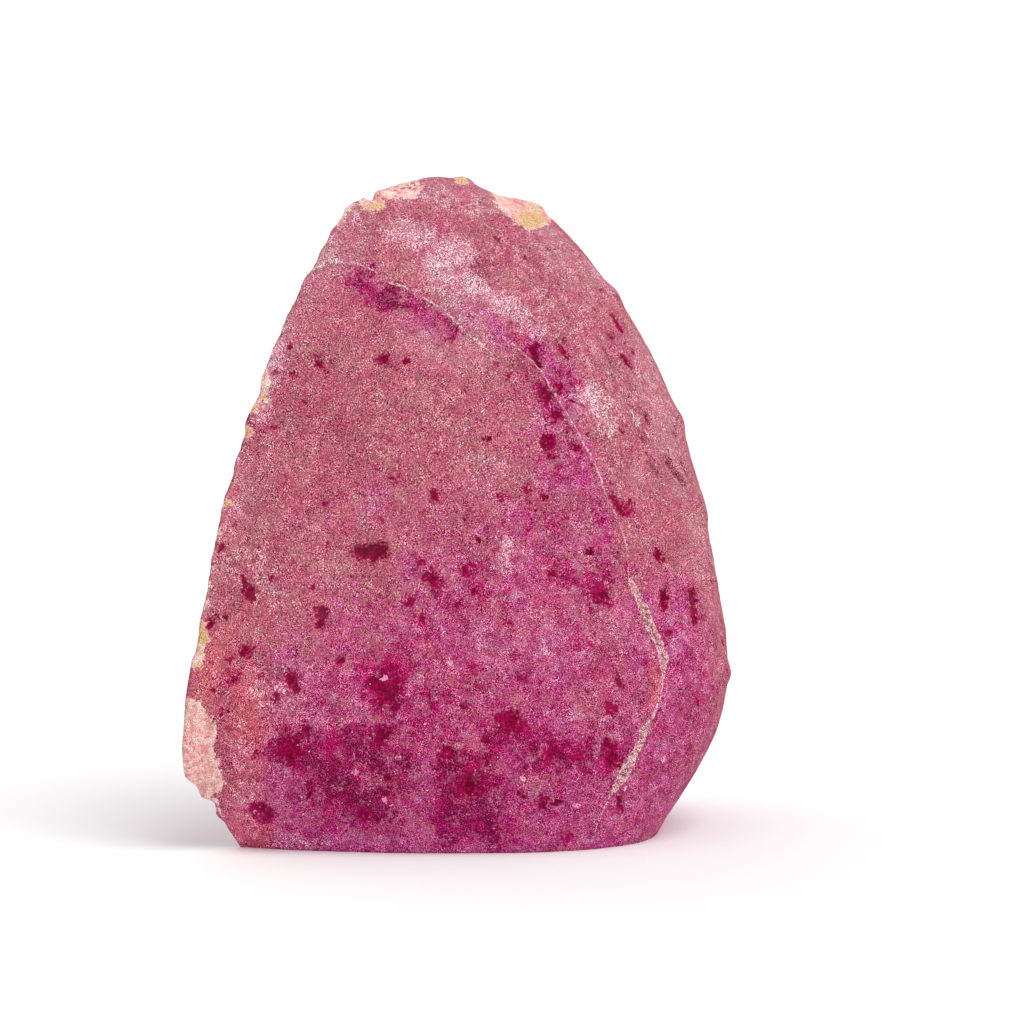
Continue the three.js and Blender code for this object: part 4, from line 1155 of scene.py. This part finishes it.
    def bump(self, height, dist_mm, strength=1.0):
        n = self.t.nodes.new("ShaderNodeBump")
        n.inputs["Strength"].default_value = strength
        n.inputs["Distance"].default_value = dist_mm * MM
        self.put(n.inputs["Height"], height)
        return n.outputs[0]

    def finish(self, colour, rough, normal=None, **plain):
        self.put(self.shader.inputs["Base Color"], colour)
        self.put(self.shader.inputs["Roughness"], rough)
        if normal is not None:
            self.put(self.shader.inputs["Normal"], normal)
        for k, v in plain.items():
            self.shader.inputs[k.replace("_", " ")].default_value = v
        return self.mat


# the dye is a little redder than the single colours below, which were picked one by one
TINT = (0.848, 0.815, 0.842, 1)


def rind_material():
    g = Graph("geode_rind")
    pit, dye, violet = g.attr("pit"), g.attr("dye"), g.attr("violet")
    magenta, pale, warm, dusty = g.attr("magenta"), g.attr("pale"), g.attr("warm"), g.attr("dusty")
    chip, ochre = g.attr("chip"), g.attr("ochre")
    # noises shared by several layers
    grain = g.noise(0.16, 1.0, 0.5, off=3.0)
    grain2 = g.channel(g.cells(0.19, "Color", off=7.0))
    small = g.noise(0.42, 0.3, 0.5, off=61.0)
    fine = g.noise(0.95, 1.2, 0.5, off=11.0)
    mid = g.noise(2.4, 2, 0.55, off=17.0)
    mid2 = g.noise(3.6, 2, 0.6, off=29.0)
    big = g.noise(9.0, 3, 0.6, off=23.0)
    sugar = g.add(g.mul(grain, 0.60), g.mul(grain2, 0.24), g.mul(small, 0.20))
    # base: rose, with slow changes of hue and lightness
    base = g.mix(g.step(big, 0.38, 0.62), srgb(179, 93, 111), srgb(191, 106, 121))
    base = g.mix(g.step(mid2, 0.40, 0.68, 0.0, 0.4), base, srgb(202, 126, 134))
    base = g.mix(g.step(g.noise(5.5, 2, 0.6, off=71.0), 0.54, 0.72, 0.0, 0.42), base, srgb(196, 130, 124))
    base = g.mix(g.step(fine, 0.48, 0.30, 0.0, 0.5), base, srgb(160, 58, 88))
    base = g.mix(g.step(small, 0.45, 0.25, 0.0, 0.2), base, srgb(164, 66, 92))
    # magenta soak, in patches that lean to rose, violet, crimson or pale pink
    m = g.add(magenta, g.centred(mid, 1.5), g.centred(big, 1.2), g.centred(fine, 0.9), g.centred(small, 0.4))
    magmask = g.step(m, 0.20, 1.10, 0.0, 0.95)
    mag = g.mix(g.step(mid2, 0.38, 0.60), srgb(172, 44, 100), srgb(198, 84, 134))
    mag = g.mix(g.step(big, 0.44, 0.62, 0.0, 0.6), mag, srgb(192, 70, 136))
    mag = g.mix(g.step(g.noise(4.2, 2, 0.6, off=171.0), 0.52, 0.64, 0.0, 0.6), mag, srgb(196, 72, 104))
    mag = g.mix(g.step(fine, 0.5, 0.74, 0.0, 0.6), mag, srgb(212, 112, 158))
    mag = g.mix(g.step(fine, 0.46, 0.28, 0.0, 0.6), mag, srgb(152, 26, 80))
    mag = g.mix(g.step(g.noise(3.0, 3, 0.6, off=77.0), 0.53, 0.68, 0.0, 0.75), mag, srgb(202, 128, 160))
    mag = g.mix(1.0, mag, (0.90, 0.95, 0.95, 1), "MULTIPLY")
    base = g.mix(magmask, base, mag)
    # violet cast
    v = g.add(violet, g.centred(mid, 0.9), g.centred(fine, 0.9), g.centred(small, 0.5))
    base = g.mix(g.step(v, 0.2, 1.1, 0.0, 0.8), base, srgb(188, 66, 140))
    # warm
    w = g.add(warm, g.centred(mid, 0.9), g.centred(fine, 0.6))
    base = g.mix(g.step(w, 0.15, 1.05, 0.0, 0.7), base, srgb(212, 104, 108))
    # brown rose facets; on the grooves and beside the seam this brown is painted shade
    base = g.mix(g.mul(g.step(g.add(g.attr("brown"), g.centred(mid, 0.8), g.centred(fine, 0.8)), 0.15, 0.95), 0.8), base, srgb(164, 82, 100))
    # grooves down the shoulder: painted shade where their bump sinks, painted light where it rises
    along = g.vec("DOT_PRODUCT", g.mm, STRIA_DIR)
    drawn = g.vec("SUBTRACT", g.mm, g.vec("SCALE", STRIA_DIR, g.mul(along, 0.80)))
    stria = g.noise(1.3, 2, 0.55, off=191.0, at=drawn)
    strong = g.attr("stria")
    base = g.mix(g.mul(g.step(stria, 0.47, 0.34), strong, 0.5), base, srgb(158, 80, 96))
    base = g.mix(g.mul(g.step(stria, 0.56, 0.68), strong, 0.3), base, srgb(222, 160, 168))
    # dusty grey pink
    base = g.mix(g.mul(g.math("MAXIMUM", g.add(dusty, g.mul(g.add(g.centred(mid, 1.0), g.centred(fine, 0.7)), g.step(dusty, 0.0, 0.3))), 0.0), 0.55), base, srgb(208, 158, 166))
    # paler frosted places: the light grains crowd together there
    p = g.add(pale, g.centred(mid, 1.2), g.centred(fine, 1.2), g.centred(small, 0.5))
    palemask = g.step(p, 0.20, 1.15)
    base = g.mix(g.mul(palemask, 0.72), base, srgb(228, 176, 186))
    # brown grooves and nicks on the shoulder: partly their own brown, partly painted shade in the hollows
    groove_brown_and_shade_mask = g.step(g.add(g.attr("groove"), g.centred(fine, 0.6), g.centred(small, 0.4)), 0.34, 0.70)
    base = g.mix(g.mul(groove_brown_and_shade_mask, 0.85), base, srgb(150, 70, 84))
    # dye that soaked in, in mottled blots
    d = g.add(dye, g.centred(mid, 1.5), g.centred(fine, 1.5), g.centred(small, 0.7))
    dyemask = g.step(d, 0.24, 0.92)
    dyec = g.mix(g.step(g.add(dye, g.centred(mid2, 2.0), g.centred(fine, 1.0)), 0.25, 1.1), srgb(178, 16, 98), srgb(124, 2, 62))
    base = g.mix(g.mul(dyemask, 0.95), base, dyec)
    # small loose spots of dye
    soak = g.step(g.add(magenta, g.centred(mid2, 1.2)), 0.1, 0.9)
    for size, reach, off in ((3.3, 0.15, 41.0), (1.7, 0.12, 47.0)):
        spots = g.cells(size, "Distance", off=off)
        pick = g.step(g.channel(g.cells(size, "Color", off=off)), 0.3, 1.0)
        sw = g.mul(pick, g.math("MULTIPLY_ADD", soak, reach * 1.3, reach))
        spotmask = g.step(g.math("SUBTRACT", g.add(sw, g.centred(fine, 0.5), g.centred(small, 0.5)), spots), -0.06, 0.12)
        base = g.mix(g.mul(spotmask, 0.75), base, srgb(156, 10, 80))
    # pits: dark, saturated hollow with a ragged edge
    pe = g.add(pit, g.centred(fine, 0.9), g.centred(small, 0.7))
    pitmask = g.step(pe, 0.36, 0.66)
    pitcol = g.mix(g.step(g.add(pe, g.centred(mid2, 1.2), g.centred(small, 0.6)), 0.5, 0.95), srgb(168, 4, 78), srgb(116, 0, 44))
    base = g.mix(g.mul(pitmask, 0.95), base, pitcol)
    # seams: thin pale quartz lines, with painted shadow along one side
    so = g.math("ABSOLUTE", g.add(g.attr("so"), g.centred(fine, 0.7), g.centred(small, 0.45)))
    se = g.math("SUBTRACT", g.math("MULTIPLY_ADD", g.attr("sr"), 0.8, -0.02), so)
    seammask = g.mul(g.step(se, -0.18, 0.10), g.step(g.add(g.centred(mid, 1.4), g.centred(fine, 1.8), g.centred(small, 1.1)), -0.30, 0.28, 0.20, 0.95))
    # side: a darker band along one side of each seam, painted shadow as if the seam were a small step
    side = g.mul(g.step(g.attr("so"), 0.0, 0.5), g.step(g.attr("so"), 1.9, 0.8), g.step(g.attr("sr"), -0.2, 0.05), g.step(g.add(mid, g.centred(fine, 0.5)), 0.36, 0.60), g.math("MULTIPLY_ADD", g.math("MAXIMUM", dyemask, pitmask), -0.9, 1.0))
    base = g.mix(g.mul(side, 0.5), base, srgb(150, 88, 96))
    base = g.mix(seammask, base, g.mix(g.step(fine, 0.42, 0.58), srgb(196, 142, 148), srgb(232, 196, 196)))
    # clumps of lighter and darker stone, and the sugary grain over everything
    soaked = g.math("MAXIMUM", g.mul(dyemask, 0.7), g.mul(pitmask, 0.8))
    cA = g.noise(4.4, 1, 0.6, off=131.0)
    cB = g.noise(1.7, 1, 0.6, off=137.0)
    cC = g.noise(3.2, 1, 0.6, off=149.0)
    lively = g.math("MULTIPLY_ADD", g.math("MAXIMUM", magmask, soaked), 0.50, 0.95)
    clump = g.mul(g.add(g.step(cA, 0.38, 0.62, -0.5, 0.5), g.mul(g.step(cB, 0.38, 0.62, -0.5, 0.5), 0.9)), lively)
    hue = g.mul(g.step(cC, 0.38, 0.62, -0.5, 0.5), g.math("MULTIPLY_ADD", g.math("MAXIMUM", magmask, soaked), -0.55, 1.0))
    crystal = g.add(g.centred(g.noise(0.175, 0.0, 0.5, off=151.0), 0.96), g.math("MULTIPLY_ADD", g.cells(0.25, "Distance", off=157.0), -0.26, 0.13))
    patchy = g.step(g.add(g.mul(cB, 0.5), g.mul(mid, 0.5), g.mul(palemask, 0.05)), 0.38, 0.64, 0.66, 1.40)
    # low: towards the foot the colour is lifted, partly dye pooled at the foot, partly painted light that evens out the
    # shade near the floor
    sepz = g.t.nodes.new("ShaderNodeSeparateXYZ")
    g.put(sepz.inputs[0], g.mm)
    low = g.step(g.add(sepz.outputs[2], g.centred(big, 8.0)), 14.0, 1.0)
    specks = g.mul(crystal, patchy, g.math("MULTIPLY_ADD", palemask, 0.45, 1.0), g.math("MULTIPLY_ADD", pitmask, -0.70, 1.0), g.math("MULTIPLY_ADD", magmask, 0.10, 1.0), g.math("MULTIPLY_ADD", g.step(chip, 0.3, 0.6), -0.45, 1.0))
    dark = g.step(crystal, 0.0, -0.16)
    light = g.step(crystal, 0.0, 0.16)
    # the open vein: pink-tan filling between broken light edges
    vo = g.math("ABSOLUTE", g.add(g.attr("vo"), g.centred(fine, 0.9), g.centred(small, 0.7)))
    ve = g.math("SUBTRACT", g.attr("vr"), vo)
    veinmask = g.mul(g.step(ve, -0.12, 0.08), g.step(g.add(g.centred(mid, 1.2), g.centred(fine, 1.4), g.mul(g.attr("vr"), 1.4)), -0.15, 0.35, 0.25, 0.95))
    fill = g.mix(g.step(g.add(g.mul(fine, 0.5), g.mul(small, 0.5)), 0.40, 0.58), srgb(164, 96, 108), srgb(214, 172, 168))
    edge = g.mul(g.step(ve, 0.36, 0.14), g.step(g.add(g.mul(fine, 0.6), g.mul(small, 0.4)), 0.40, 0.56))
    base = g.mix(veinmask, base, g.mix(g.mul(edge, 0.8), fill, srgb(240, 202, 200)))
    base = g.mix(1.0, base, TINT, "MULTIPLY")
    # fresh breaks: pale pink stone, ochre where iron sits under the skin
    ce = g.add(chip, g.centred(mid, 0.5), g.centred(fine, 1.0), g.centred(small, 0.7))
    fresh = g.mix(g.step(g.add(g.mul(mid, 0.5), g.mul(fine, 0.5)), 0.38, 0.60), srgb(227, 157, 155), srgb(247, 206, 196))
    fresh = g.mix(g.step(g.add(g.mul(fine, 0.5), g.mul(small, 0.5)), 0.42, 0.30, 0.0, 0.45), fresh, srgb(212, 128, 138))
    fresh = g.mix(g.step(g.add(ochre, g.centred(mid, 1.0), g.centred(fine, 0.9)), 0.35, 1.0, 0.0, 0.9), fresh, srgb(216, 178, 122))
    fresh = g.mix(1.0, fresh, (0.90, 0.88, 0.88, 1), "MULTIPLY")
    chipmask = g.step(ce, 0.34, 0.72)
    base = g.mix(chipmask, base, fresh)
    # loose pale flakes, and sparse near-white dots: painted glints of sugary grains, where a lower roughness also lets
    # real glints show
    fd = g.cells(4.6, "Distance", off=83.0)
    fs = g.step(g.channel(g.cells(4.6, "Color", off=83.0)), 0.55, 0.9)
    flake = g.step(g.math("SUBTRACT", g.add(g.mul(fs, g.math("MULTIPLY_ADD", soak, 0.10, 0.03)), g.centred(fine, 0.35), g.centred(small, 0.25)), fd), -0.02, 0.05)
    base = g.mix(g.mul(flake, fs, 0.8), base, srgb(238, 168, 190))
    # painted glints: sparse near-white dots
    glint_dot = g.step(g.cells(1.1, "Distance", off=53.0), 0.15, 0.05)
    glint_pick = g.step(g.channel(g.cells(1.1, "Color", off=53.0)), 0.82, 0.90)
    base = g.mix(g.mul(glint_dot, glint_pick, 0.8), base, srgb(252, 232, 238))
    # the low term below is that lift near the foot, partly dye and partly painted light
    base = g.scatter(base, (specks, (1, 1, 1)), (g.mul(specks, soaked), (0.0, -0.45, -0.25)), (g.mul(specks, magmask), (0.0, -0.16, -0.08)), (g.mul(specks, pitmask), (0.0, -0.55, -0.35)), (low, (0.045, 0.0, 0.055)), (clump, (0.010, 0.032, 0.020)), (g.mul(clump, magmask), (0.020, 0.002, 0.012)), (hue, (-0.030, 0.021, -0.004)))
    # relief
    h = g.add(g.mul(sugar, 0.10), g.mul(small, 0.24), g.mul(fine, 0.6), g.mul(mid, 0.6), g.mul(pitmask, -0.5), g.mul(seammask, 0.35), g.mul(chipmask, -0.3), g.mul(g.centred(stria, 1.6), strong))
    n = g.bump(h, 0.34, 0.8)
    rough = g.add(0.70, g.mul(grain, 0.26), g.mul(glint_dot, glint_pick, -0.35))
    return g.finish(base, rough, n, Specular_IOR_Level=0.08)


BANDS = [
    (0.000, (172, 72, 96)), (0.022, (156, 44, 82)), (0.040, (140, 26, 72)), (0.060, (120, 14, 62)), (0.095, (178, 28, 92)),
    (0.120, (224, 104, 152)), (0.135, (196, 52, 116)), (0.165, (150, 14, 76)), (0.200, (206, 52, 122)), (0.225, (240, 158, 190)),
    (0.240, (214, 70, 134)), (0.275, (178, 22, 94)), (0.310, (226, 92, 150)), (0.335, (246, 186, 208)), (0.350, (214, 66, 134)),
    (0.390, (190, 34, 106)), (0.430, (232, 116, 166)), (0.470, (204, 52, 122)), (0.500, (244, 178, 204)), (0.520, (222, 86, 148)),
    (0.560, (236, 136, 180)), (0.585, (250, 214, 226)), (0.600, (228, 108, 162)), (0.640, (242, 170, 200)), (0.665, (206, 60, 128)),
    (0.690, (248, 206, 222)), (0.740, (236, 176, 204)),
]


def add_ramp(g, x, rows):
    """A colour ramp holds 32 stops."""
    return g.ramp(x, [(p, srgb(*c)) for p, c in rows])


def face_material():
    g = Graph("geode_sawn_face")
    u = g.attr("band")
    wob = g.noise(14.0, 3, 0.55, off=5.0)
    wob2 = g.noise(3.0, 3, 0.6, off=15.0)
    fib = g.noise(0.5, 2, 0.6, off=25.0)
    inside = g.step(u, 0.0, 0.12)
    x = g.add(u, g.mul(g.add(g.centred(wob, 0.16), g.centred(wob2, 0.030), g.centred(fib, 0.006)), inside))
    col = add_ramp(g, x, BANDS)
    # fine repeat inside the broad bands
    s1 = g.math("SINE", g.mul(x, 250.0))
    s2 = g.math("SINE", g.add(g.mul(x, 143.0), g.mul(wob, 6.0)))
    zone = g.mul(g.step(x, 0.06, 0.12), g.step(x, 0.74, 0.66))
    stripe = g.add(g.mul(s1, 0.5), g.mul(s2, 0.5))
    col = g.mix(g.mul(g.step(stripe, 0.15, 0.9), zone, 0.32), col, srgb(252, 214, 228))
    col = g.mix(g.mul(g.step(stripe, -0.15, -0.9), zone, 0.30), col, srgb(140, 14, 74))
    # coarse quartz next to the pocket: crystals standing across the bands
    tc = g.vec("SUBTRACT", g.mm, (float(POCKET_C[0]), 0.0, float(POCKET_C[2])))
    sep = g.t.nodes.new("ShaderNodeSeparateXYZ")
    g.put(sep.inputs[0], tc)
    ang = g.math("ARCTAN2", sep.outputs[2], sep.outputs[0])
    com = g.t.nodes.new("ShaderNodeCombineXYZ")
    g.put(com.inputs[0], g.mul(g.math("SINE", ang), 26.0))
    g.put(com.inputs[1], g.mul(g.math("COSINE", ang), 26.0))
    g.put(com.inputs[2], g.mul(u, 4.0))
    needles = g.channel(g.cells(1.5, "Color", at=com.outputs[0]))
    needles2 = g.cells(1.5, "Distance", "DISTANCE_TO_EDGE", at=com.outputs[0])
    q = g.mix(needles, srgb(214, 168, 196), srgb(248, 230, 238))
    q = g.mix(g.step(x, 0.86, 0.97), q, srgb(230, 166, 196))
    q = g.mix(g.mul(g.step(needles2, 0.07, 0.0), 0.6), q, srgb(190, 120, 160))
    quartz_zone = g.step(g.add(x, g.centred(needles, 0.05)), 0.735, 0.755)
    col = g.mix(quartz_zone, col, q)
    col = g.mix(g.mul(g.step(g.math("ABSOLUTE", g.math("SUBTRACT", x, 0.735)), 0.012, 0.004), 0.8), col, srgb(178, 40, 104))
    # healed cracks and clouds
    sway = g.vec("SCALE", g.warp(6.0, off=65.0), 4.0)
    crack = g.cells(17.0, "Distance", "DISTANCE_TO_EDGE", off=9.0, at=g.vec("ADD", g.mm, sway))
    col = g.mix(g.mul(g.step(crack, 0.012, 0.0), g.step(wob, 0.5, 0.62), 0.5), col, srgb(250, 226, 232))
    cloud = g.noise(6.0, 4, 0.6, off=33.0)
    col = g.mix(g.mul(g.step(cloud, 0.5, 0.75), 0.18), col, srgb(255, 236, 240))
    # the skin in section: uneven, tan to rose, with a dark dyed line under it
    edge = g.add(g.attr("rimd"), g.centred(g.noise(3.2, 3, 0.6, off=71.0), 3.2), g.centred(g.noise(0.8, 3, 0.6, off=73.0), 1.2))
    tone = g.noise(7.0, 3, 0.6, off=75.0)
    skin = g.mix(g.step(tone, 0.40, 0.60), srgb(184, 104, 112), srgb(222, 172, 142))
    skin = g.mix(g.step(g.noise(0.6, 3, 0.7, off=77.0), 0.42, 0.62, 0.0, 0.6), skin, srgb(236, 204, 184))
    skin = g.mix(g.step(g.noise(1.4, 3, 0.7, off=79.0), 0.56, 0.70, 0.0, 0.7), skin, srgb(150, 40, 78))
    col = g.mix(g.step(edge, 2.6, 1.2, 0.0, 0.7), col, srgb(128, 16, 64))
    col = g.mix(g.step(edge, 1.35, 0.95), col, skin)
    # skin on the rim is matte, and the face is polished
    rim = g.step(g.attr("rimd"), 2.2, 0.8)
    rough = g.add(0.09, g.mul(rim, 0.35), g.mul(g.noise(0.4, 2, 0.6, off=43.0), 0.05), g.mul(quartz_zone, 0.03))
    h = g.add(g.mul(g.noise(5.0, 2, 0.5, off=51.0), 0.6), g.mul(g.noise(0.35, 2, 0.5, off=55.0), 0.04), g.mul(rim, g.noise(0.7, 3, 0.6, off=59.0), 0.3))
    n = g.bump(h, 0.06, 0.6)
    col = g.mix(1.0, col, (0.85, 0.85, 0.85, 1), "MULTIPLY")
    return g.finish(col, rough, n, IOR=1.54, Specular_IOR_Level=0.5, Coat_Weight=0.25, Coat_Roughness=0.04)


def foot_material():
    g = Graph("geode_sawn_foot")
    d = g.attr("rimd")
    wob = g.noise(12.0, 3, 0.55, off=5.0)
    x = g.add(g.mul(d, 1 / 34.0), g.mul(g.centred(wob, 0.16), g.step(d, 0.5, 6.0)))
    col = add_ramp(g, x, BANDS)
    stripe = g.math("SINE", g.add(g.mul(x, 190.0), g.mul(wob, 5.0)))
    col = g.mix(g.mul(g.step(stripe, 0.1, 0.9), 0.25), col, srgb(246, 200, 216))
    # ground dull with coarse grit: whitish bloom and arcs of the saw
    arc = g.math("SINE", g.mul(g.vec("LENGTH", g.vec("SUBTRACT", g.mm, (140.0, -160.0, 0.0))), 3.4))
    grit = g.noise(0.35, 2, 0.6, off=13.0)
    col = g.mix(g.add(0.16, g.mul(g.step(arc, 0.2, 1.0), 0.10), g.mul(g.step(grit, 0.5, 0.75), 0.16)), col, srgb(232, 200, 206))
    n = g.bump(g.add(g.mul(grit, 0.5), g.mul(arc, 0.18)), 0.12, 0.7)
    rough = g.add(0.5, g.mul(grit, 0.25))
    return g.finish(col, rough, n, Specular_IOR_Level=0.4)


def pocket_material():
    g = Graph("geode_pocket_wall")
    c = g.channel(g.cells(0.9, "Color", off=5.0))
    e = g.cells(0.9, "Distance", off=5.0)
    big = g.noise(7.0, 3, 0.6, off=15.0)
    col = g.mix(c, srgb(206, 92, 148), srgb(246, 190, 214))
    col = g.mix(g.step(big, 0.35, 0.65, 0.0, 0.6), col, srgb(188, 48, 114))
    col = g.mix(g.step(e, 0.35, 0.0, 0.0, 0.4), col, srgb(255, 232, 240))
    n = g.bump(g.math("SUBTRACT", 1.0, e), 0.8, 0.9)
    return g.finish(col, g.add(0.16, g.mul(c, 0.2)), n, IOR=1.54)


def quartz_material():
    g = Graph("geode_quartz_points")
    # the dye sits deepest at the roots and fades towards the tips
    d = g.vec("LENGTH", g.vec("DIVIDE", g.vec("SUBTRACT", g.mm, tuple(float(c) for c in POCKET_C)), tuple(float(c) for c in POCKET_S)))
    t = g.add(d, g.centred(g.noise(2.2, 3, 0.6, off=3.0), 0.22), g.centred(g.noise(0.7, 2, 0.6, off=13.0), 0.10))
    col = g.ramp(t, [(0.60, srgb(255, 242, 248)), (0.78, srgb(255, 214, 232)), (0.90, srgb(246, 158, 200)), (1.0, srgb(222, 78, 146))])
    veil = g.step(g.noise(1.3, 4, 0.7, off=23.0), 0.56, 0.68, 0.0, 0.55)
    col = g.mix(veil, col, srgb(255, 248, 251))
    n = g.bump(g.mul(g.noise(0.6, 2, 0.5, off=8.0), 0.5), 0.05, 0.5)
    rough = g.add(0.02, g.mul(g.noise(1.0, 2, 0.6, off=18.0), 0.06), g.mul(veil, 0.10))
    return g.finish(col, rough, n, IOR=1.544, Transmission_Weight=0.5)


for make in (rind_material, face_material, foot_material, pocket_material):
    stone.data.materials.append(make())
druse.data.materials.clear()
druse.data.materials.append(quartz_material())


# ------------------------------------------------------------------ floor, light, camera
def flat_material(name, rgb, rough=0.8):
    m = bpy.data.materials.new(name)
    m.use_nodes = True
    b = m.node_tree.nodes["Principled BSDF"]
    b.inputs["Base Color"].default_value = (*rgb, 1)
    b.inputs["Roughness"].default_value = rough
    return m


bpy.ops.mesh.primitive_plane_add(size=8.0, location=(0, 0, 0))
floor = bpy.context.active_object
floor.name = "floor"
floor.data.materials.append(flat_material("floor_white", (0.9, 0.9, 0.9), 0.9))

world = bpy.data.worlds.new("studio")
bpy.context.scene.world = world
world.use_nodes = True
wt = world.node_tree
back = wt.nodes["Background"]
back.inputs[0].default_value = (1, 1, 1, 1)
# the backdrop shows plain white and lights the stone a little less than that
lp_ = wt.nodes.new("ShaderNodeLightPath")
lift = wt.nodes.new("ShaderNodeMapRange")
lift.inputs[3].default_value, lift.inputs[4].default_value = 0.70, 1.05
wt.links.new(lp_.outputs["Is Camera Ray"], lift.inputs[0])
wt.links.new(lift.outputs[0], back.inputs[1])


def sun(name, az, el, spread, strength):
    """Soft light from far away. az is where it stands: 0 in front of the sawn face, 90 at +X, 180 behind."""
    d = bpy.data.lights.new(name, "SUN")
    d.angle, d.energy = math.radians(spread), strength
    o = bpy.data.objects.new(name, d)
    bpy.context.scene.collection.objects.link(o)
    a, e = math.radians(az), math.radians(el)
    v = Vector((math.sin(a) * math.cos(e), -math.cos(a) * math.cos(e), math.sin(e)))
    o.location = v * 2.0
    o.rotation_euler = v.to_track_quat("Z", "Y").to_euler()
    return o


sun("key", 184, 54, 45, 1.75)
sun("fill", 352, 28, 60, 0.40)

cam = bpy.data.cameras.new("camera")
cam.lens, cam.sensor_width = LENS, SENSOR
cam.clip_start, cam.clip_end = 0.01, 50
co = bpy.data.objects.new("camera", cam)
bpy.context.scene.collection.objects.link(co)
M = Matrix((c_r, c_u, -c_f)).transposed()
co.matrix_world = Matrix.Translation(Vector(CAM_P * MM)) @ M.to_4x4()
bpy.context.scene.camera = co
bpy.context.scene.view_settings.view_transform = "Standard"
